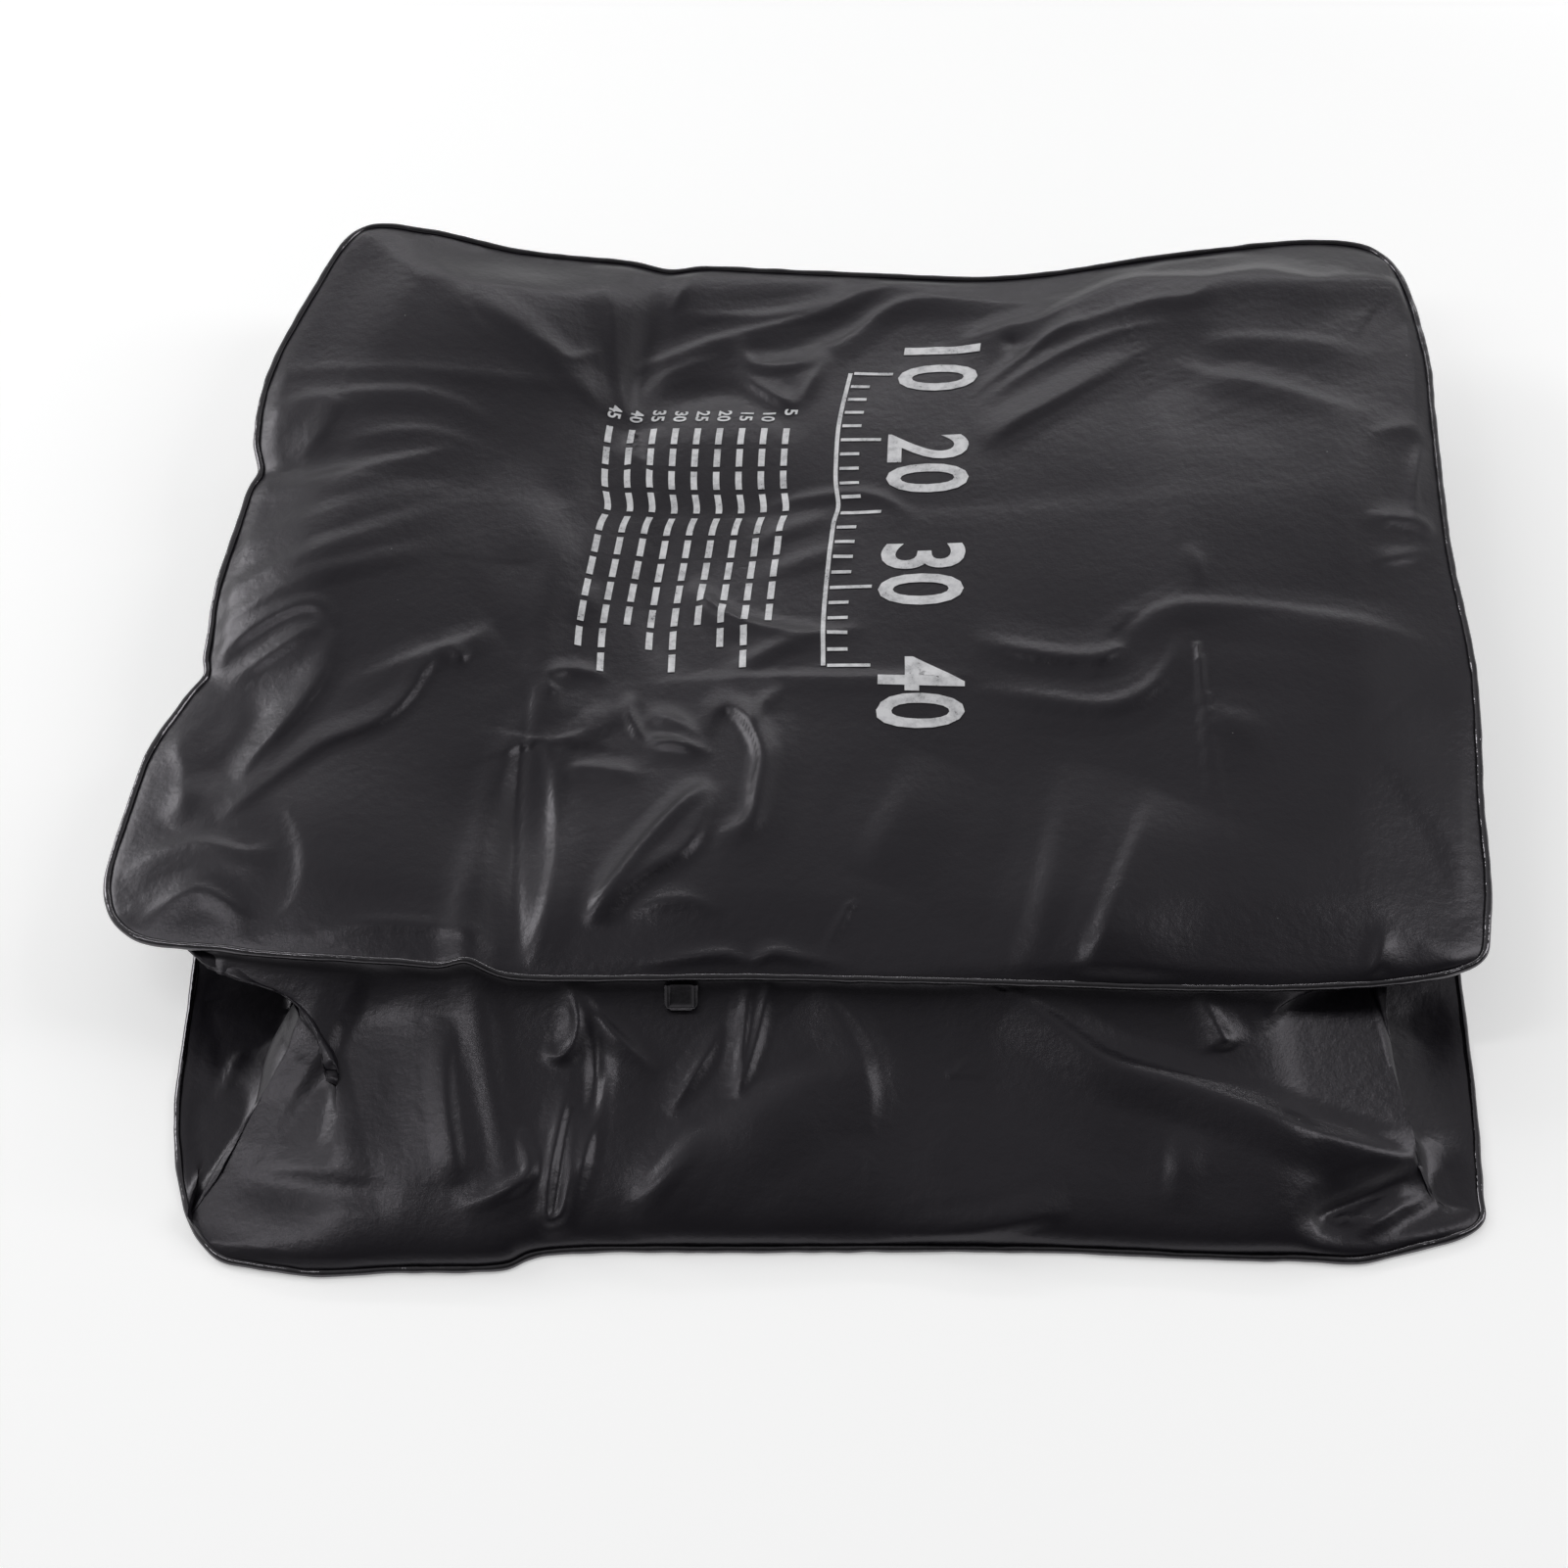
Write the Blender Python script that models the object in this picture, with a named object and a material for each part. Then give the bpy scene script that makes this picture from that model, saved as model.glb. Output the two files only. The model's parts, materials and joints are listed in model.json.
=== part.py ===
"""Camp shower bag of 40 litres, lying empty: a box-shaped PVC water bag with its filler and its outlet tap.

Two face panels with round corners are joined by a wall strip that runs all round them. The bag has slumped,
so that the upper panel lies pushed back over the lower one and both end walls are tucked in between them.
X runs along the bag, from its outlet end to its hanging end, Y from front to back, and Z up, in metres.
The origin is the middle of the ground that the bag covers.
"""

import math

import bpy
import bmesh
from mathutils import Matrix, Vector

# The film body
PANEL_LENGTH = 0.600
PANEL_WIDTH = 0.470
WALL_WIDTH = 0.142
FILM = 0.0008
CLEARANCE = 0.0003
SEAM_RADIUS = 0.0016
SEAM_CLEARANCE = 0.0005

# Where the two seams lie: the stations start at the front left corner and run round by the front, the
# hanging end, the back and the outlet end. Each is a share of the panel's length, the panel's width and
# the wall's width, measured from the middle of the bag.
UPPER_SEAM_SHARES = (
    (-0.514, -0.333, 0.338),
    (-0.424, -0.370, 0.352),
    (-0.352, -0.381, 0.359),
    (-0.288, -0.386, 0.352),
    (-0.210, -0.396, 0.324),
    (-0.054, -0.395, 0.324),
    (0.116, -0.399, 0.317),
    (0.329, -0.406, 0.317),
    (0.466, -0.384, 0.310),
    (0.493, -0.326, 0.330),
    (0.503, -0.185, 0.366),
    (0.513, -0.036, 0.415),
    (0.512, 0.130, 0.430),
    (0.520, 0.304, 0.430),
    (0.526, 0.438, 0.430),
    (0.512, 0.580, 0.423),
    (0.455, 0.618, 0.423),
    (0.322, 0.595, 0.423),
    (0.172, 0.566, 0.394),
    (0.027, 0.578, 0.380),
    (-0.113, 0.589, 0.387),
    (-0.251, 0.594, 0.437),
    (-0.338, 0.608, 0.500),
    (-0.399, 0.602, 0.521),
    (-0.435, 0.500, 0.493),
    (-0.464, 0.368, 0.451),
    (-0.466, 0.223, 0.408),
    (-0.480, 0.089, 0.380),
    (-0.484, -0.028, 0.352),
    (-0.517, -0.150, 0.338),
)
LOWER_SEAM_SHARES = (
    (-0.435, -0.619),
    (-0.367, -0.651),
    (-0.292, -0.649),
    (-0.225, -0.647),
    (-0.182, -0.630),
    (-0.025, -0.628),
    (0.150, -0.628),
    (0.333, -0.636),
    (0.460, -0.609),
    (0.475, -0.526),
    (0.483, -0.355),
    (0.487, -0.206),
    (0.487, -0.057),
    (0.487, 0.102),
    (0.480, 0.251),
    (0.458, 0.326),
    (0.392, 0.351),
    (0.258, 0.353),
    (0.117, 0.353),
    (-0.025, 0.353),
    (-0.167, 0.353),
    (-0.300, 0.353),
    (-0.400, 0.349),
    (-0.455, 0.321),
    (-0.472, 0.240),
    (-0.475, 0.091),
    (-0.475, -0.057),
    (-0.473, -0.206),
    (-0.470, -0.355),
    (-0.465, -0.504),
)
CORNER_STATIONS = (0, 8, 15, 23)
WALL_LENGTHS = (
    ("front_wall", 2, 6),
    ("hanging_front_corner", 6, 9),
    ("hanging_end_wall", 9, 14),
    ("hanging_rear_corner", 14, 17),
    ("rear_wall", 17, 21),
    ("outlet_rear_corner", 21, 24),
    ("outlet_end_wall", 24, 28),
    ("outlet_front_corner", 28, 32),
)
SAMPLES_PER_STATION = 3

# Swells and hollows of the upper panel: place as shares of its length and width, reach as a share of its
# length, and height as a share of the wall's width.
SWELL_SHARES = (
    (0.17, 0.86, 0.13, 0.085),
    (0.33, 0.83, 0.07, -0.050),
    (0.11, 0.50, 0.15, 0.065),
    (0.40, 0.55, 0.11, -0.040),
    (0.47, 0.91, 0.10, -0.030),
    (0.68, 0.52, 0.22, 0.055),
    (0.93, 0.58, 0.13, 0.050),
    (0.86, 0.90, 0.12, 0.055),
    (0.85, 0.20, 0.17, 0.055),
    (0.45, 0.18, 0.13, 0.050),
    (0.30, 0.18, 0.06, -0.040),
    (0.15, 0.16, 0.13, 0.035),
    (0.08, 0.46, 0.08, 0.020),
    (0.26, 0.52, 0.05, 0.014),
    (0.33, 0.76, 0.05, -0.018),
    (0.36, 0.12, 0.06, 0.018),
    (0.66, 0.84, 0.06, 0.018),
    (0.78, 0.52, 0.06, 0.016),
    (0.74, 0.10, 0.05, 0.024),
)
SWELL_RIM_SHARE = 0.10
# The face rises steeply from its weld, as film does, and levels off.
RIM_ROLL = 0.0030
RIM_ROLL_REACH = 0.0100

# How the walls stand: the film leaves each seam upright over RISE, and an end wall is tucked in as far as
# its flat, which carries the fittings.
WALL_ROWS = 10
FLAT_ROWS = (WALL_ROWS // 5, WALL_ROWS * 4 // 5)
RISE_SHARE = 0.16
TUCK_RISE_SHARE = 0.035
TUCK_REACH = 2.2
HANGING_TUCK = 0.040
OUTLET_TUCK = 0.042
TUCK_BLEND_STATIONS = 1.2
TUCK_MARGIN_STATIONS = 3
FLAT_AMOUNT = 0.55

# Filler on the hanging end: a welded flange with a neck, its gasket and its screw cap
FILLER_SHARE = 0.57
FLANGE_RADIUS = 0.0195
FLANGE_THICKNESS = 0.0020
FLANGE_WELD = 0.0040
NECK_BORE_RADIUS = 0.0120
NECK_WALL = 0.0022
NECK_LENGTH = 0.0130
THREAD_HEIGHT = 0.0009
THREAD_WIDTH = 0.0016
THREAD_PITCH = 0.0040
THREAD_RIDGES = 2
GASKET_THICKNESS = 0.0020
GASKET_WIDTH = 0.0035
CAP_WALL = 0.0020
CAP_TOP = 0.0025
CAP_SKIRT = 0.0110
CAP_RIBS = 20
CAP_RIB_HEIGHT = 0.0008
CAP_FINGER_RADIUS = 0.0110
CAP_FINGER_DEPTH = 0.0010

# Outlet on the other end: a welded flange with a tap body, a barb for the hose and a quarter-turn plug
OUTLET_SHARE = 0.46
OUTLET_FLANGE_RADIUS = 0.0150
OUTLET_FLANGE_THICKNESS = 0.0020
TAP_BODY_RADIUS = 0.0075
TAP_BODY_LENGTH = 0.0150
PORT_RADIUS = 0.0025
BARB_RADIUS = 0.0044
BARB_RIDGE = 0.0009
BARB_LENGTH = 0.0140
BARB_COUNT = 3
PLUG_RADIUS = 0.0040
PLUG_FLANGE_RADIUS = 0.0062
PLUG_FLANGE_THICKNESS = 0.0012
LEVER_LENGTH = 0.0200
LEVER_WIDTH = 0.0056
LEVER_THICKNESS = 0.0030
LEVER_ROUND = 0.0009

# Hang tabs on the hanging end: a weld strip, a flap that swings below it and a metal eyelet
TAB_SPACING = 0.210
TAB_WIDTH = 0.028
TAB_LENGTH = 0.0210
TAB_THICKNESS = 0.0015
TAB_STRIP = 0.0050
TAB_CORNER = 0.0060
EYELET_BORE_RADIUS = 0.0040
EYELET_BARREL_WALL = 0.0010
EYELET_RIM_RADIUS = 0.0072
EYELET_RIM_THICKNESS = 0.0005
EYELET_EDGE = 0.0100

# Side tab under the front of the upper seam
SIDE_TAB_SHARE = 0.591
SIDE_TAB_WIDTH = 0.0145
SIDE_TAB_LENGTH = 0.0115
SIDE_TAB_THICKNESS = 0.0014
SIDE_TAB_CORNER = 0.0035
SIDE_TAB_CLEARANCE = 0.0005
SIDE_TAB_SET_OUT = 0.0026

# Facets
ROUND_SIDES = 40
SMALL_SIDES = 20
RIB_SIDES = 4
SEAM_FACETS = 2
CORNER_STEPS = 4
LEVER_ROUND_STEPS = 2
SMOOTH_ANGLE = math.radians(35)
OVERRUN = 0.002

RIM_INSET = SEAM_RADIUS + CLEARANCE
WALL_INSET = SEAM_RADIUS + SEAM_CLEARANCE + FILM / 2
WALL_CUT = CLEARANCE / 2
UP = Vector((0, 0, 1))


def clear_scene():
    for thing in list(bpy.data.objects):
        bpy.data.objects.remove(thing, do_unlink=True)


def material(name, colour, roughness, metallic=0.0):
    made = bpy.data.materials.new(name)
    made.use_nodes = True
    shader = made.node_tree.nodes["Principled BSDF"]
    shader.inputs["Base Color"].default_value = (*colour, 1.0)
    shader.inputs["Roughness"].default_value = roughness
    shader.inputs["Metallic"].default_value = metallic
    return made


def add_object(name, mesh, finish):
    thing = bpy.data.objects.new(name, mesh)
    mesh.materials.append(finish)
    bpy.context.scene.collection.objects.link(thing)
    return thing


def mesh_from(name, points, faces):
    mesh = bpy.data.meshes.new(name)
    mesh.from_pydata([tuple(p) for p in points], [], faces)
    mesh.update()
    return mesh


def smooth(thing):
    thing.data.shade_smooth()
    thing.data.set_sharp_from_angle(angle=SMOOTH_ANGLE)


def face_outwards(mesh):
    work = bmesh.new()
    work.from_mesh(mesh)
    bmesh.ops.recalc_face_normals(work, faces=work.faces)
    work.to_mesh(mesh)
    work.free()


def cut(thing, cutter):
    """Takes the cutter out of the thing, and hides the cutter."""
    cutter.display_type = "WIRE"
    cutter.hide_render = True
    hole = thing.modifiers.new(cutter.name, "BOOLEAN")
    hole.operation = "DIFFERENCE"
    hole.object = cutter


def turned(name, profile, sides, finish, place=Matrix.Identity(4)):
    """Spins a closed profile of (radius, along) points about its own axis, +Z, and puts it in place."""
    points = []
    for step in range(sides):
        angle = math.tau * step / sides
        points += [place @ Vector((r * math.cos(angle), r * math.sin(angle), z)) for r, z in profile]
    count = len(profile)
    faces = []
    for step in range(sides):
        here, there = step * count, (step + 1) % sides * count
        for i in range(count):
            j = (i + 1) % count
            faces.append((here + i, there + i, there + j, here + j))
    mesh = mesh_from(name, points, faces)
    merge_axis(mesh)
    face_outwards(mesh)
    thing = add_object(name, mesh, finish)
    smooth(thing)
    return thing


def merge_axis(mesh):
    """Joins the points of a turned profile that lie on its axis."""
    work = bmesh.new()
    work.from_mesh(mesh)
    bmesh.ops.remove_doubles(work, verts=work.verts, dist=FILM / 1000)
    bmesh.ops.dissolve_degenerate(work, edges=work.edges, dist=FILM / 1000)
    work.to_mesh(mesh)
    work.free()


def rod(name, radius, start, end, sides, finish):
    """A plain round bar from one point to another, used as a piece or as a drill."""
    along = end - start
    turn = along.to_track_quat("Z", "Y").to_matrix().to_4x4()
    profile = [(0, 0), (radius, 0), (radius, along.length), (0, along.length)]
    return turned(name, profile, sides, finish, Matrix.Translation(start) @ turn)


# The two seams


def closed_curve(stations):
    """A smooth closed curve through the stations, SAMPLES_PER_STATION points for each."""
    count = len(stations)
    points = []
    for i in range(count):
        a, b, c, d = (stations[(i + k) % count] for k in (-1, 0, 1, 2))
        for step in range(SAMPLES_PER_STATION):
            t = step / SAMPLES_PER_STATION
            bend = (2 * a - 5 * b + 4 * c - d) * t**2 + (3 * b - a - 3 * c + d) * t**3
            points.append((2 * b + (c - a) * t + bend) / 2)
    return points


def seam_curves():
    """The middle lines of the upper and the lower seam, centred on the ground that the bag covers."""
    upper = [Vector((x * PANEL_LENGTH, y * PANEL_WIDTH, z * WALL_WIDTH)) for x, y, z in UPPER_SEAM_SHARES]
    lower = [Vector((x * PANEL_LENGTH, y * PANEL_WIDTH, SEAM_RADIUS)) for x, y in LOWER_SEAM_SHARES]
    upper, lower = closed_curve(upper), closed_curve(lower)
    low = Vector([min(p[k] for p in upper + lower) for k in (0, 1)])
    high = Vector([max(p[k] for p in upper + lower) for k in (0, 1)])
    middle = ((low + high) / 2).to_3d()
    return [p - middle for p in upper], [p - middle for p in lower]


def inward_normals(curve):
    """The level direction into the bag at each point of a seam, which runs anticlockwise from above."""
    count = len(curve)
    found = []
    for i in range(count):
        run = curve[(i + 1) % count] - curve[i - 1]
        found.append(Vector((-run.y, run.x, 0)).normalized())
    return found


UPPER_SEAM, LOWER_SEAM = seam_curves()
UPPER_IN, LOWER_IN = inward_normals(UPPER_SEAM), inward_normals(LOWER_SEAM)
CORNERS = [station * SAMPLES_PER_STATION for station in CORNER_STATIONS]
SEAM_POINTS = len(UPPER_SEAM)


def seam_bead(name, curve, finish):
    """The welded bead that runs round a panel's rim, a closed tube."""
    data = bpy.data.curves.new(name, "CURVE")
    data.dimensions = "3D"
    data.bevel_depth = SEAM_RADIUS
    data.bevel_resolution = SEAM_FACETS
    run = data.splines.new("POLY")
    run.points.add(len(curve) - 1)
    for point, place in zip(run.points, curve):
        point.co = (*place, 1)
    run.use_cyclic_u = True
    data.materials.append(finish)
    bpy.context.scene.collection.objects.link(bpy.data.objects.new(name, data))


# The face panels


def side_of(first, last):
    """The sample numbers along one side of the bag, from one corner to the next."""
    return [i % SEAM_POINTS for i in range(first, last + 1)]


def swell(across, along):
    """Height of the upper panel's swells at a place given in shares of its length and its width."""
    height = 0
    for x, y, reach, rise in SWELL_SHARES:
        away = math.hypot(across - x, (along - y) * PANEL_WIDTH / PANEL_LENGTH)
        height += rise * WALL_WIDTH * math.exp(-((away / reach) ** 2))
    rim = min(across, 1 - across, along, 1 - along) / SWELL_RIM_SHARE
    fade = min(1, rim)
    from_rim = min(min(across, 1 - across) * PANEL_LENGTH, min(along, 1 - along) * PANEL_WIDTH)
    roll = RIM_ROLL * (1 - math.exp(-from_rim / RIM_ROLL_REACH))
    return height * fade * fade * (3 - 2 * fade) + roll


def upper_panel(finish):
    """The upper face: a film patch spanned between the four sides of its seam, with its swells."""
    rim = [p + n * RIM_INSET for p, n in zip(UPPER_SEAM, UPPER_IN)]
    a, b, c, d = CORNERS
    front = [rim[i] for i in side_of(a, b)]
    right = [rim[i] for i in side_of(b, c)]
    back = [rim[i] for i in reversed(side_of(c, d))]
    left = [rim[i] for i in reversed(side_of(d, a + SEAM_POINTS))]
    columns, rows = len(front) - 1, len(left) - 1
    points = []
    for j in range(rows + 1):
        v = j / rows
        for i in range(columns + 1):
            u = i / columns
            sides = front[i] * (1 - v) + back[i] * v + left[j] * (1 - u) + right[j] * u
            corners = (front[0] * (1 - u) + front[-1] * u) * (1 - v) + (back[0] * (1 - u) + back[-1] * u) * v
            points.append(sides - corners + UP * swell(u, v))
    wide = columns + 1
    faces = [
        (j * wide + i, j * wide + i + 1, (j + 1) * wide + i + 1, (j + 1) * wide + i)
        for j in range(rows)
        for i in range(columns)
    ]
    thing = add_object("upper_panel", mesh_from("upper_panel", points, faces), finish)
    film = thing.modifiers.new("film", "SOLIDIFY")
    film.thickness = FILM
    film.offset = 0
    smooth(thing)


def lower_panel(finish):
    """The lower face, flat on the ground."""
    points = [(p + n * RIM_INSET).to_2d().to_3d() for p, n in zip(LOWER_SEAM, LOWER_IN)]
    mesh = mesh_from("lower_panel", points, [tuple(range(SEAM_POINTS))])
    work = bmesh.new()
    work.from_mesh(mesh)
    grown = bmesh.ops.extrude_face_region(work, geom=work.faces[:])
    raised = [v for v in grown["geom"] if isinstance(v, bmesh.types.BMVert)]
    bmesh.ops.translate(work, vec=UP * FILM, verts=raised)
    bmesh.ops.recalc_face_normals(work, faces=work.faces)
    work.to_mesh(mesh)
    work.free()
    add_object("lower_panel", mesh, finish)


# The walls


def tuck_plane(corner_a, corner_b, outward, tuck):
    """Where the flat of an end wall's tuck stands along X, measured in from the lower seam."""
    margin = TUCK_MARGIN_STATIONS * SAMPLES_PER_STATION
    reach = min(outward * LOWER_SEAM[i].x for i in side_of(corner_a + margin, corner_b - margin))
    return outward * (reach - tuck)


HANGING_PLANE = tuck_plane(CORNERS[1], CORNERS[2], 1, HANGING_TUCK)
OUTLET_PLANE = tuck_plane(CORNERS[3], CORNERS[0] + SEAM_POINTS, -1, OUTLET_TUCK)


def tuck_of(sample):
    """How far a wall section is tucked in, 0 on the front and back and 1 on the ends, and its plane."""
    a, b, c, d = CORNERS
    spread = TUCK_BLEND_STATIONS * SAMPLES_PER_STATION
    for first, last, plane in ((b, c, HANGING_PLANE), (d, a + SEAM_POINTS, OUTLET_PLANE)):
        for place in (sample, sample + SEAM_POINTS):
            depth = min(place - first, last - place) / spread
            if depth > -1:
                share = min(1, max(0, (depth + 1) / 2))
                return share * share * (3 - 2 * share), plane
    return 0, 0


def wall_section(sample):
    """One upright section of the wall, from the lower seam to the upper one."""
    i = sample % SEAM_POINTS
    foot = LOWER_SEAM[i] + LOWER_IN[i] * WALL_INSET
    head = UPPER_SEAM[i] + UPPER_IN[i] * WALL_INSET
    foot.z = FILM + SEAM_CLEARANCE + FILM / 2
    head.z -= FILM / 2 + SEAM_CLEARANCE
    amount, plane = tuck_of(i)
    rise = UP * WALL_WIDTH * RISE_SHARE
    low, high = foot + rise, head - rise
    if amount > 0:
        short_rise = UP * WALL_WIDTH * TUCK_RISE_SHARE
        foot_depth = max(0, abs(foot.x) - abs(plane)) * TUCK_REACH
        head_depth = max(0, abs(head.x) - abs(plane)) * TUCK_REACH
        low = low.lerp(foot + short_rise + LOWER_IN[i] * foot_depth, amount)
        high = high.lerp(head - short_rise + UPPER_IN[i] * head_depth, amount)
    points = []
    for row in range(WALL_ROWS + 1):
        t = row / WALL_ROWS
        s = 1 - t
        point = foot * s**3 + low * (3 * t * s**2) + high * (3 * t**2 * s) + head * t**3
        if amount > FLAT_AMOUNT:
            point.x = max(point.x, plane) if plane > 0 else min(point.x, plane)
        points.append(point)
    return points


def film_sides(sections):
    """The wall's outer and inner surfaces, half the film's thickness to each side of its sections."""
    count, rows = len(sections), WALL_ROWS + 1
    outer, inner = [], []
    for i in range(count):
        before, here, after = sections[i - 1], sections[i], sections[(i + 1) % count]
        offsets = []
        for j in range(rows):
            round_bag = after[j] - before[j]
            up_wall = here[min(j + 1, WALL_ROWS)] - here[max(j - 1, 0)]
            offsets.append(round_bag.cross(up_wall).normalized() * FILM / 2)
        outer.append([p + n for p, n in zip(here, offsets)])
        inner.append([p - n for p, n in zip(here, offsets)])
    return outer, inner


WALL_SECTIONS = [wall_section(sample) for sample in range(SEAM_POINTS)]
WALL_SIDES = film_sides(WALL_SECTIONS)


def wall(name, first, last, finish):
    """One length of the wall strip between two samples, cut short by half a clearance at each end.

    The rim's faces are split the same way on every length, so that two neighbours' ends can't cross.
    """
    columns = last - first + 1
    points = []
    for side in WALL_SIDES:
        run = [side[i % SEAM_POINTS] for i in range(first, last + 1)]
        for end, beside in ((0, 1), (-1, -2)):
            run[end] = [p.lerp(q, WALL_CUT / (q - p).length) for p, q in zip(run[end], run[beside])]
        points += [p for section in run for p in section]
    rows = WALL_ROWS + 1
    inside = columns * rows
    faces = []
    for i in range(columns - 1):
        for j in range(WALL_ROWS):
            a, b = i * rows + j, (i + 1) * rows + j
            faces.append((a, b, b + 1, a + 1))
            faces.append((inside + a + 1, inside + b + 1, inside + b, inside + a))
    foot = [i * rows for i in range(columns)]
    rim = foot + [foot[-1] + j for j in range(1, rows)]
    rim += [i * rows + WALL_ROWS for i in range(columns - 2, -1, -1)]
    rim += [j for j in range(WALL_ROWS - 1, 0, -1)]
    for a, b in zip(rim, rim[1:] + rim[:1]):
        faces += [(b, a, inside + min(a, b)), (max(a, b), inside + a, inside + b)]
    thing = add_object(name, mesh_from(name, points, faces), finish)
    smooth(thing)
    return thing


def end_place(share, first, last, plane, outward):
    """The middle of an end wall's flat at a share of the way along it, on the film's outer side."""
    section = wall_section(first + round(share * (last - first)))
    middle = (section[FLAT_ROWS[0]] + section[FLAT_ROWS[1]]) / 2
    return Vector((plane + outward * (FILM / 2 + CLEARANCE), middle.y, middle.z))


# The filler


def facing_x(place, outward):
    """Puts a turned piece's own axis along X, pointing out of the bag."""
    return Matrix.Translation(place) @ Matrix.Rotation(outward * math.pi / 2, 4, "Y")


def filler(place, end_wall, plain, seal):
    """The flange and neck welded to the end wall, the gasket on the neck's mouth and the cap over it."""
    axis = facing_x(place, 1)
    neck_radius = NECK_BORE_RADIUS + NECK_WALL
    mouth = FLANGE_THICKNESS + NECK_LENGTH
    profile = [(NECK_BORE_RADIUS, 0), (FLANGE_RADIUS, 0), (FLANGE_RADIUS, FLANGE_THICKNESS)]
    profile.append((neck_radius, FLANGE_THICKNESS))
    for ridge in reversed(range(THREAD_RIDGES)):
        middle = mouth - THREAD_WIDTH - ridge * THREAD_PITCH
        profile.append((neck_radius, middle - THREAD_WIDTH / 2))
        profile.append((neck_radius + THREAD_HEIGHT, middle))
        profile.append((neck_radius, middle + THREAD_WIDTH / 2))
    profile += [(neck_radius, mouth), (NECK_BORE_RADIUS, mouth)]
    turned("filler_neck", profile, ROUND_SIDES, plain, axis)

    seat = mouth + CLEARANCE
    outer = neck_radius
    inner = outer - GASKET_WIDTH
    back = seat + GASKET_THICKNESS
    ring = [(inner, seat), (outer, seat), (outer, back), (inner, back)]
    turned("cap_gasket", ring, ROUND_SIDES, seal, axis)

    cap_bore = neck_radius + THREAD_HEIGHT + CLEARANCE
    cap_radius = cap_bore + CAP_WALL
    under = back + CLEARANCE
    top = under + CAP_TOP
    skirt = under - CAP_SKIRT
    edge = CAP_TOP / 3
    shell = [(0, under), (cap_bore, under), (cap_bore, skirt), (cap_radius, skirt), (cap_radius, top - edge)]
    shell += [(cap_radius - edge, top), (CAP_FINGER_RADIUS, top)]
    shell += [(CAP_FINGER_RADIUS - CAP_FINGER_DEPTH, top - CAP_FINGER_DEPTH), (0, top - CAP_FINGER_DEPTH)]
    cap = turned("filler_cap", shell, CAP_RIBS * RIB_SIDES, plain)
    add_ribs(cap, cap_radius)
    cap.matrix_world = axis

    inside = place - Vector((HANGING_TUCK, 0, 0))
    cut(end_wall, rod("filler_drill", FLANGE_RADIUS - FLANGE_WELD, inside, place, ROUND_SIDES, plain))


def add_ribs(cap, radius):
    """Raises every second pair of the skirt's facet edges into a grip rib."""
    for point in cap.data.vertices:
        level = point.co.to_2d()
        step = round(math.atan2(level.y, level.x) / math.tau * CAP_RIBS * RIB_SIDES)
        if level.length > radius - CLEARANCE and step % RIB_SIDES < RIB_SIDES / 2:
            level *= (radius + CAP_RIB_HEIGHT) / radius
            point.co.x, point.co.y = level


# The outlet tap


def outlet(place, end_wall, plain, bright):
    """The flange, tap body and hose barb in one moulding, and the plug that turns in the body."""
    axis = facing_x(place, -1)
    body_end = OUTLET_FLANGE_THICKNESS + TAP_BODY_LENGTH
    profile = [(0, 0), (OUTLET_FLANGE_RADIUS, 0), (OUTLET_FLANGE_RADIUS, OUTLET_FLANGE_THICKNESS)]
    profile += [(TAP_BODY_RADIUS, OUTLET_FLANGE_THICKNESS), (TAP_BODY_RADIUS, body_end)]
    profile.append((BARB_RADIUS, body_end))
    pitch = BARB_LENGTH / BARB_COUNT
    for barb in range(BARB_COUNT):
        foot = body_end + barb * pitch
        profile += [(BARB_RADIUS, foot + pitch / 3), (BARB_RADIUS + BARB_RIDGE, foot + pitch / 3)]
        profile.append((BARB_RADIUS, foot + pitch))
    profile.append((0, body_end + BARB_LENGTH))
    body = turned("outlet_tap_body", profile, SMALL_SIDES, plain, axis)

    inside = place + Vector((OUTLET_TUCK, 0, 0))
    outside = place - Vector((body_end + BARB_LENGTH + OVERRUN, 0, 0))
    port = rod("port_drill", PORT_RADIUS, inside, outside, SMALL_SIDES, plain)
    cut(body, port)
    cut(end_wall, port)

    centre = place - Vector((OUTLET_FLANGE_THICKNESS + TAP_BODY_LENGTH / 2, 0, 0))
    reach = UP * (TAP_BODY_RADIUS + OVERRUN)
    bore = rod("plug_drill", PLUG_RADIUS + CLEARANCE, centre - reach, centre + reach, SMALL_SIDES, plain)
    cut(body, bore)
    tap_plug(centre, plain, bright)


def tap_plug(centre, plain, bright):
    """A round plug with a cross port, a retaining flange below and a lever on top. At rest it is shut."""
    collar = TAP_BODY_RADIUS + CLEARANCE
    top = collar + PLUG_FLANGE_THICKNESS
    profile = [(0, -top), (PLUG_FLANGE_RADIUS, -top), (PLUG_FLANGE_RADIUS, -collar), (PLUG_RADIUS, -collar)]
    profile += [(PLUG_RADIUS, collar), (PLUG_FLANGE_RADIUS, collar), (PLUG_FLANGE_RADIUS, top), (0, top)]
    plug = turned("tap_plug", profile, SMALL_SIDES, bright)
    reach = Vector((0, PLUG_RADIUS + OVERRUN, 0))
    port = rod("plug_port_drill", PORT_RADIUS, -reach, reach, SMALL_SIDES, plain)
    port.parent = plug
    cut(plug, port)
    lever = lever_bar(top)
    lever.parent = plug
    join = plug.modifiers.new("lever", "BOOLEAN")
    join.operation = "UNION"
    join.object = lever
    plug.location = centre


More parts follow.
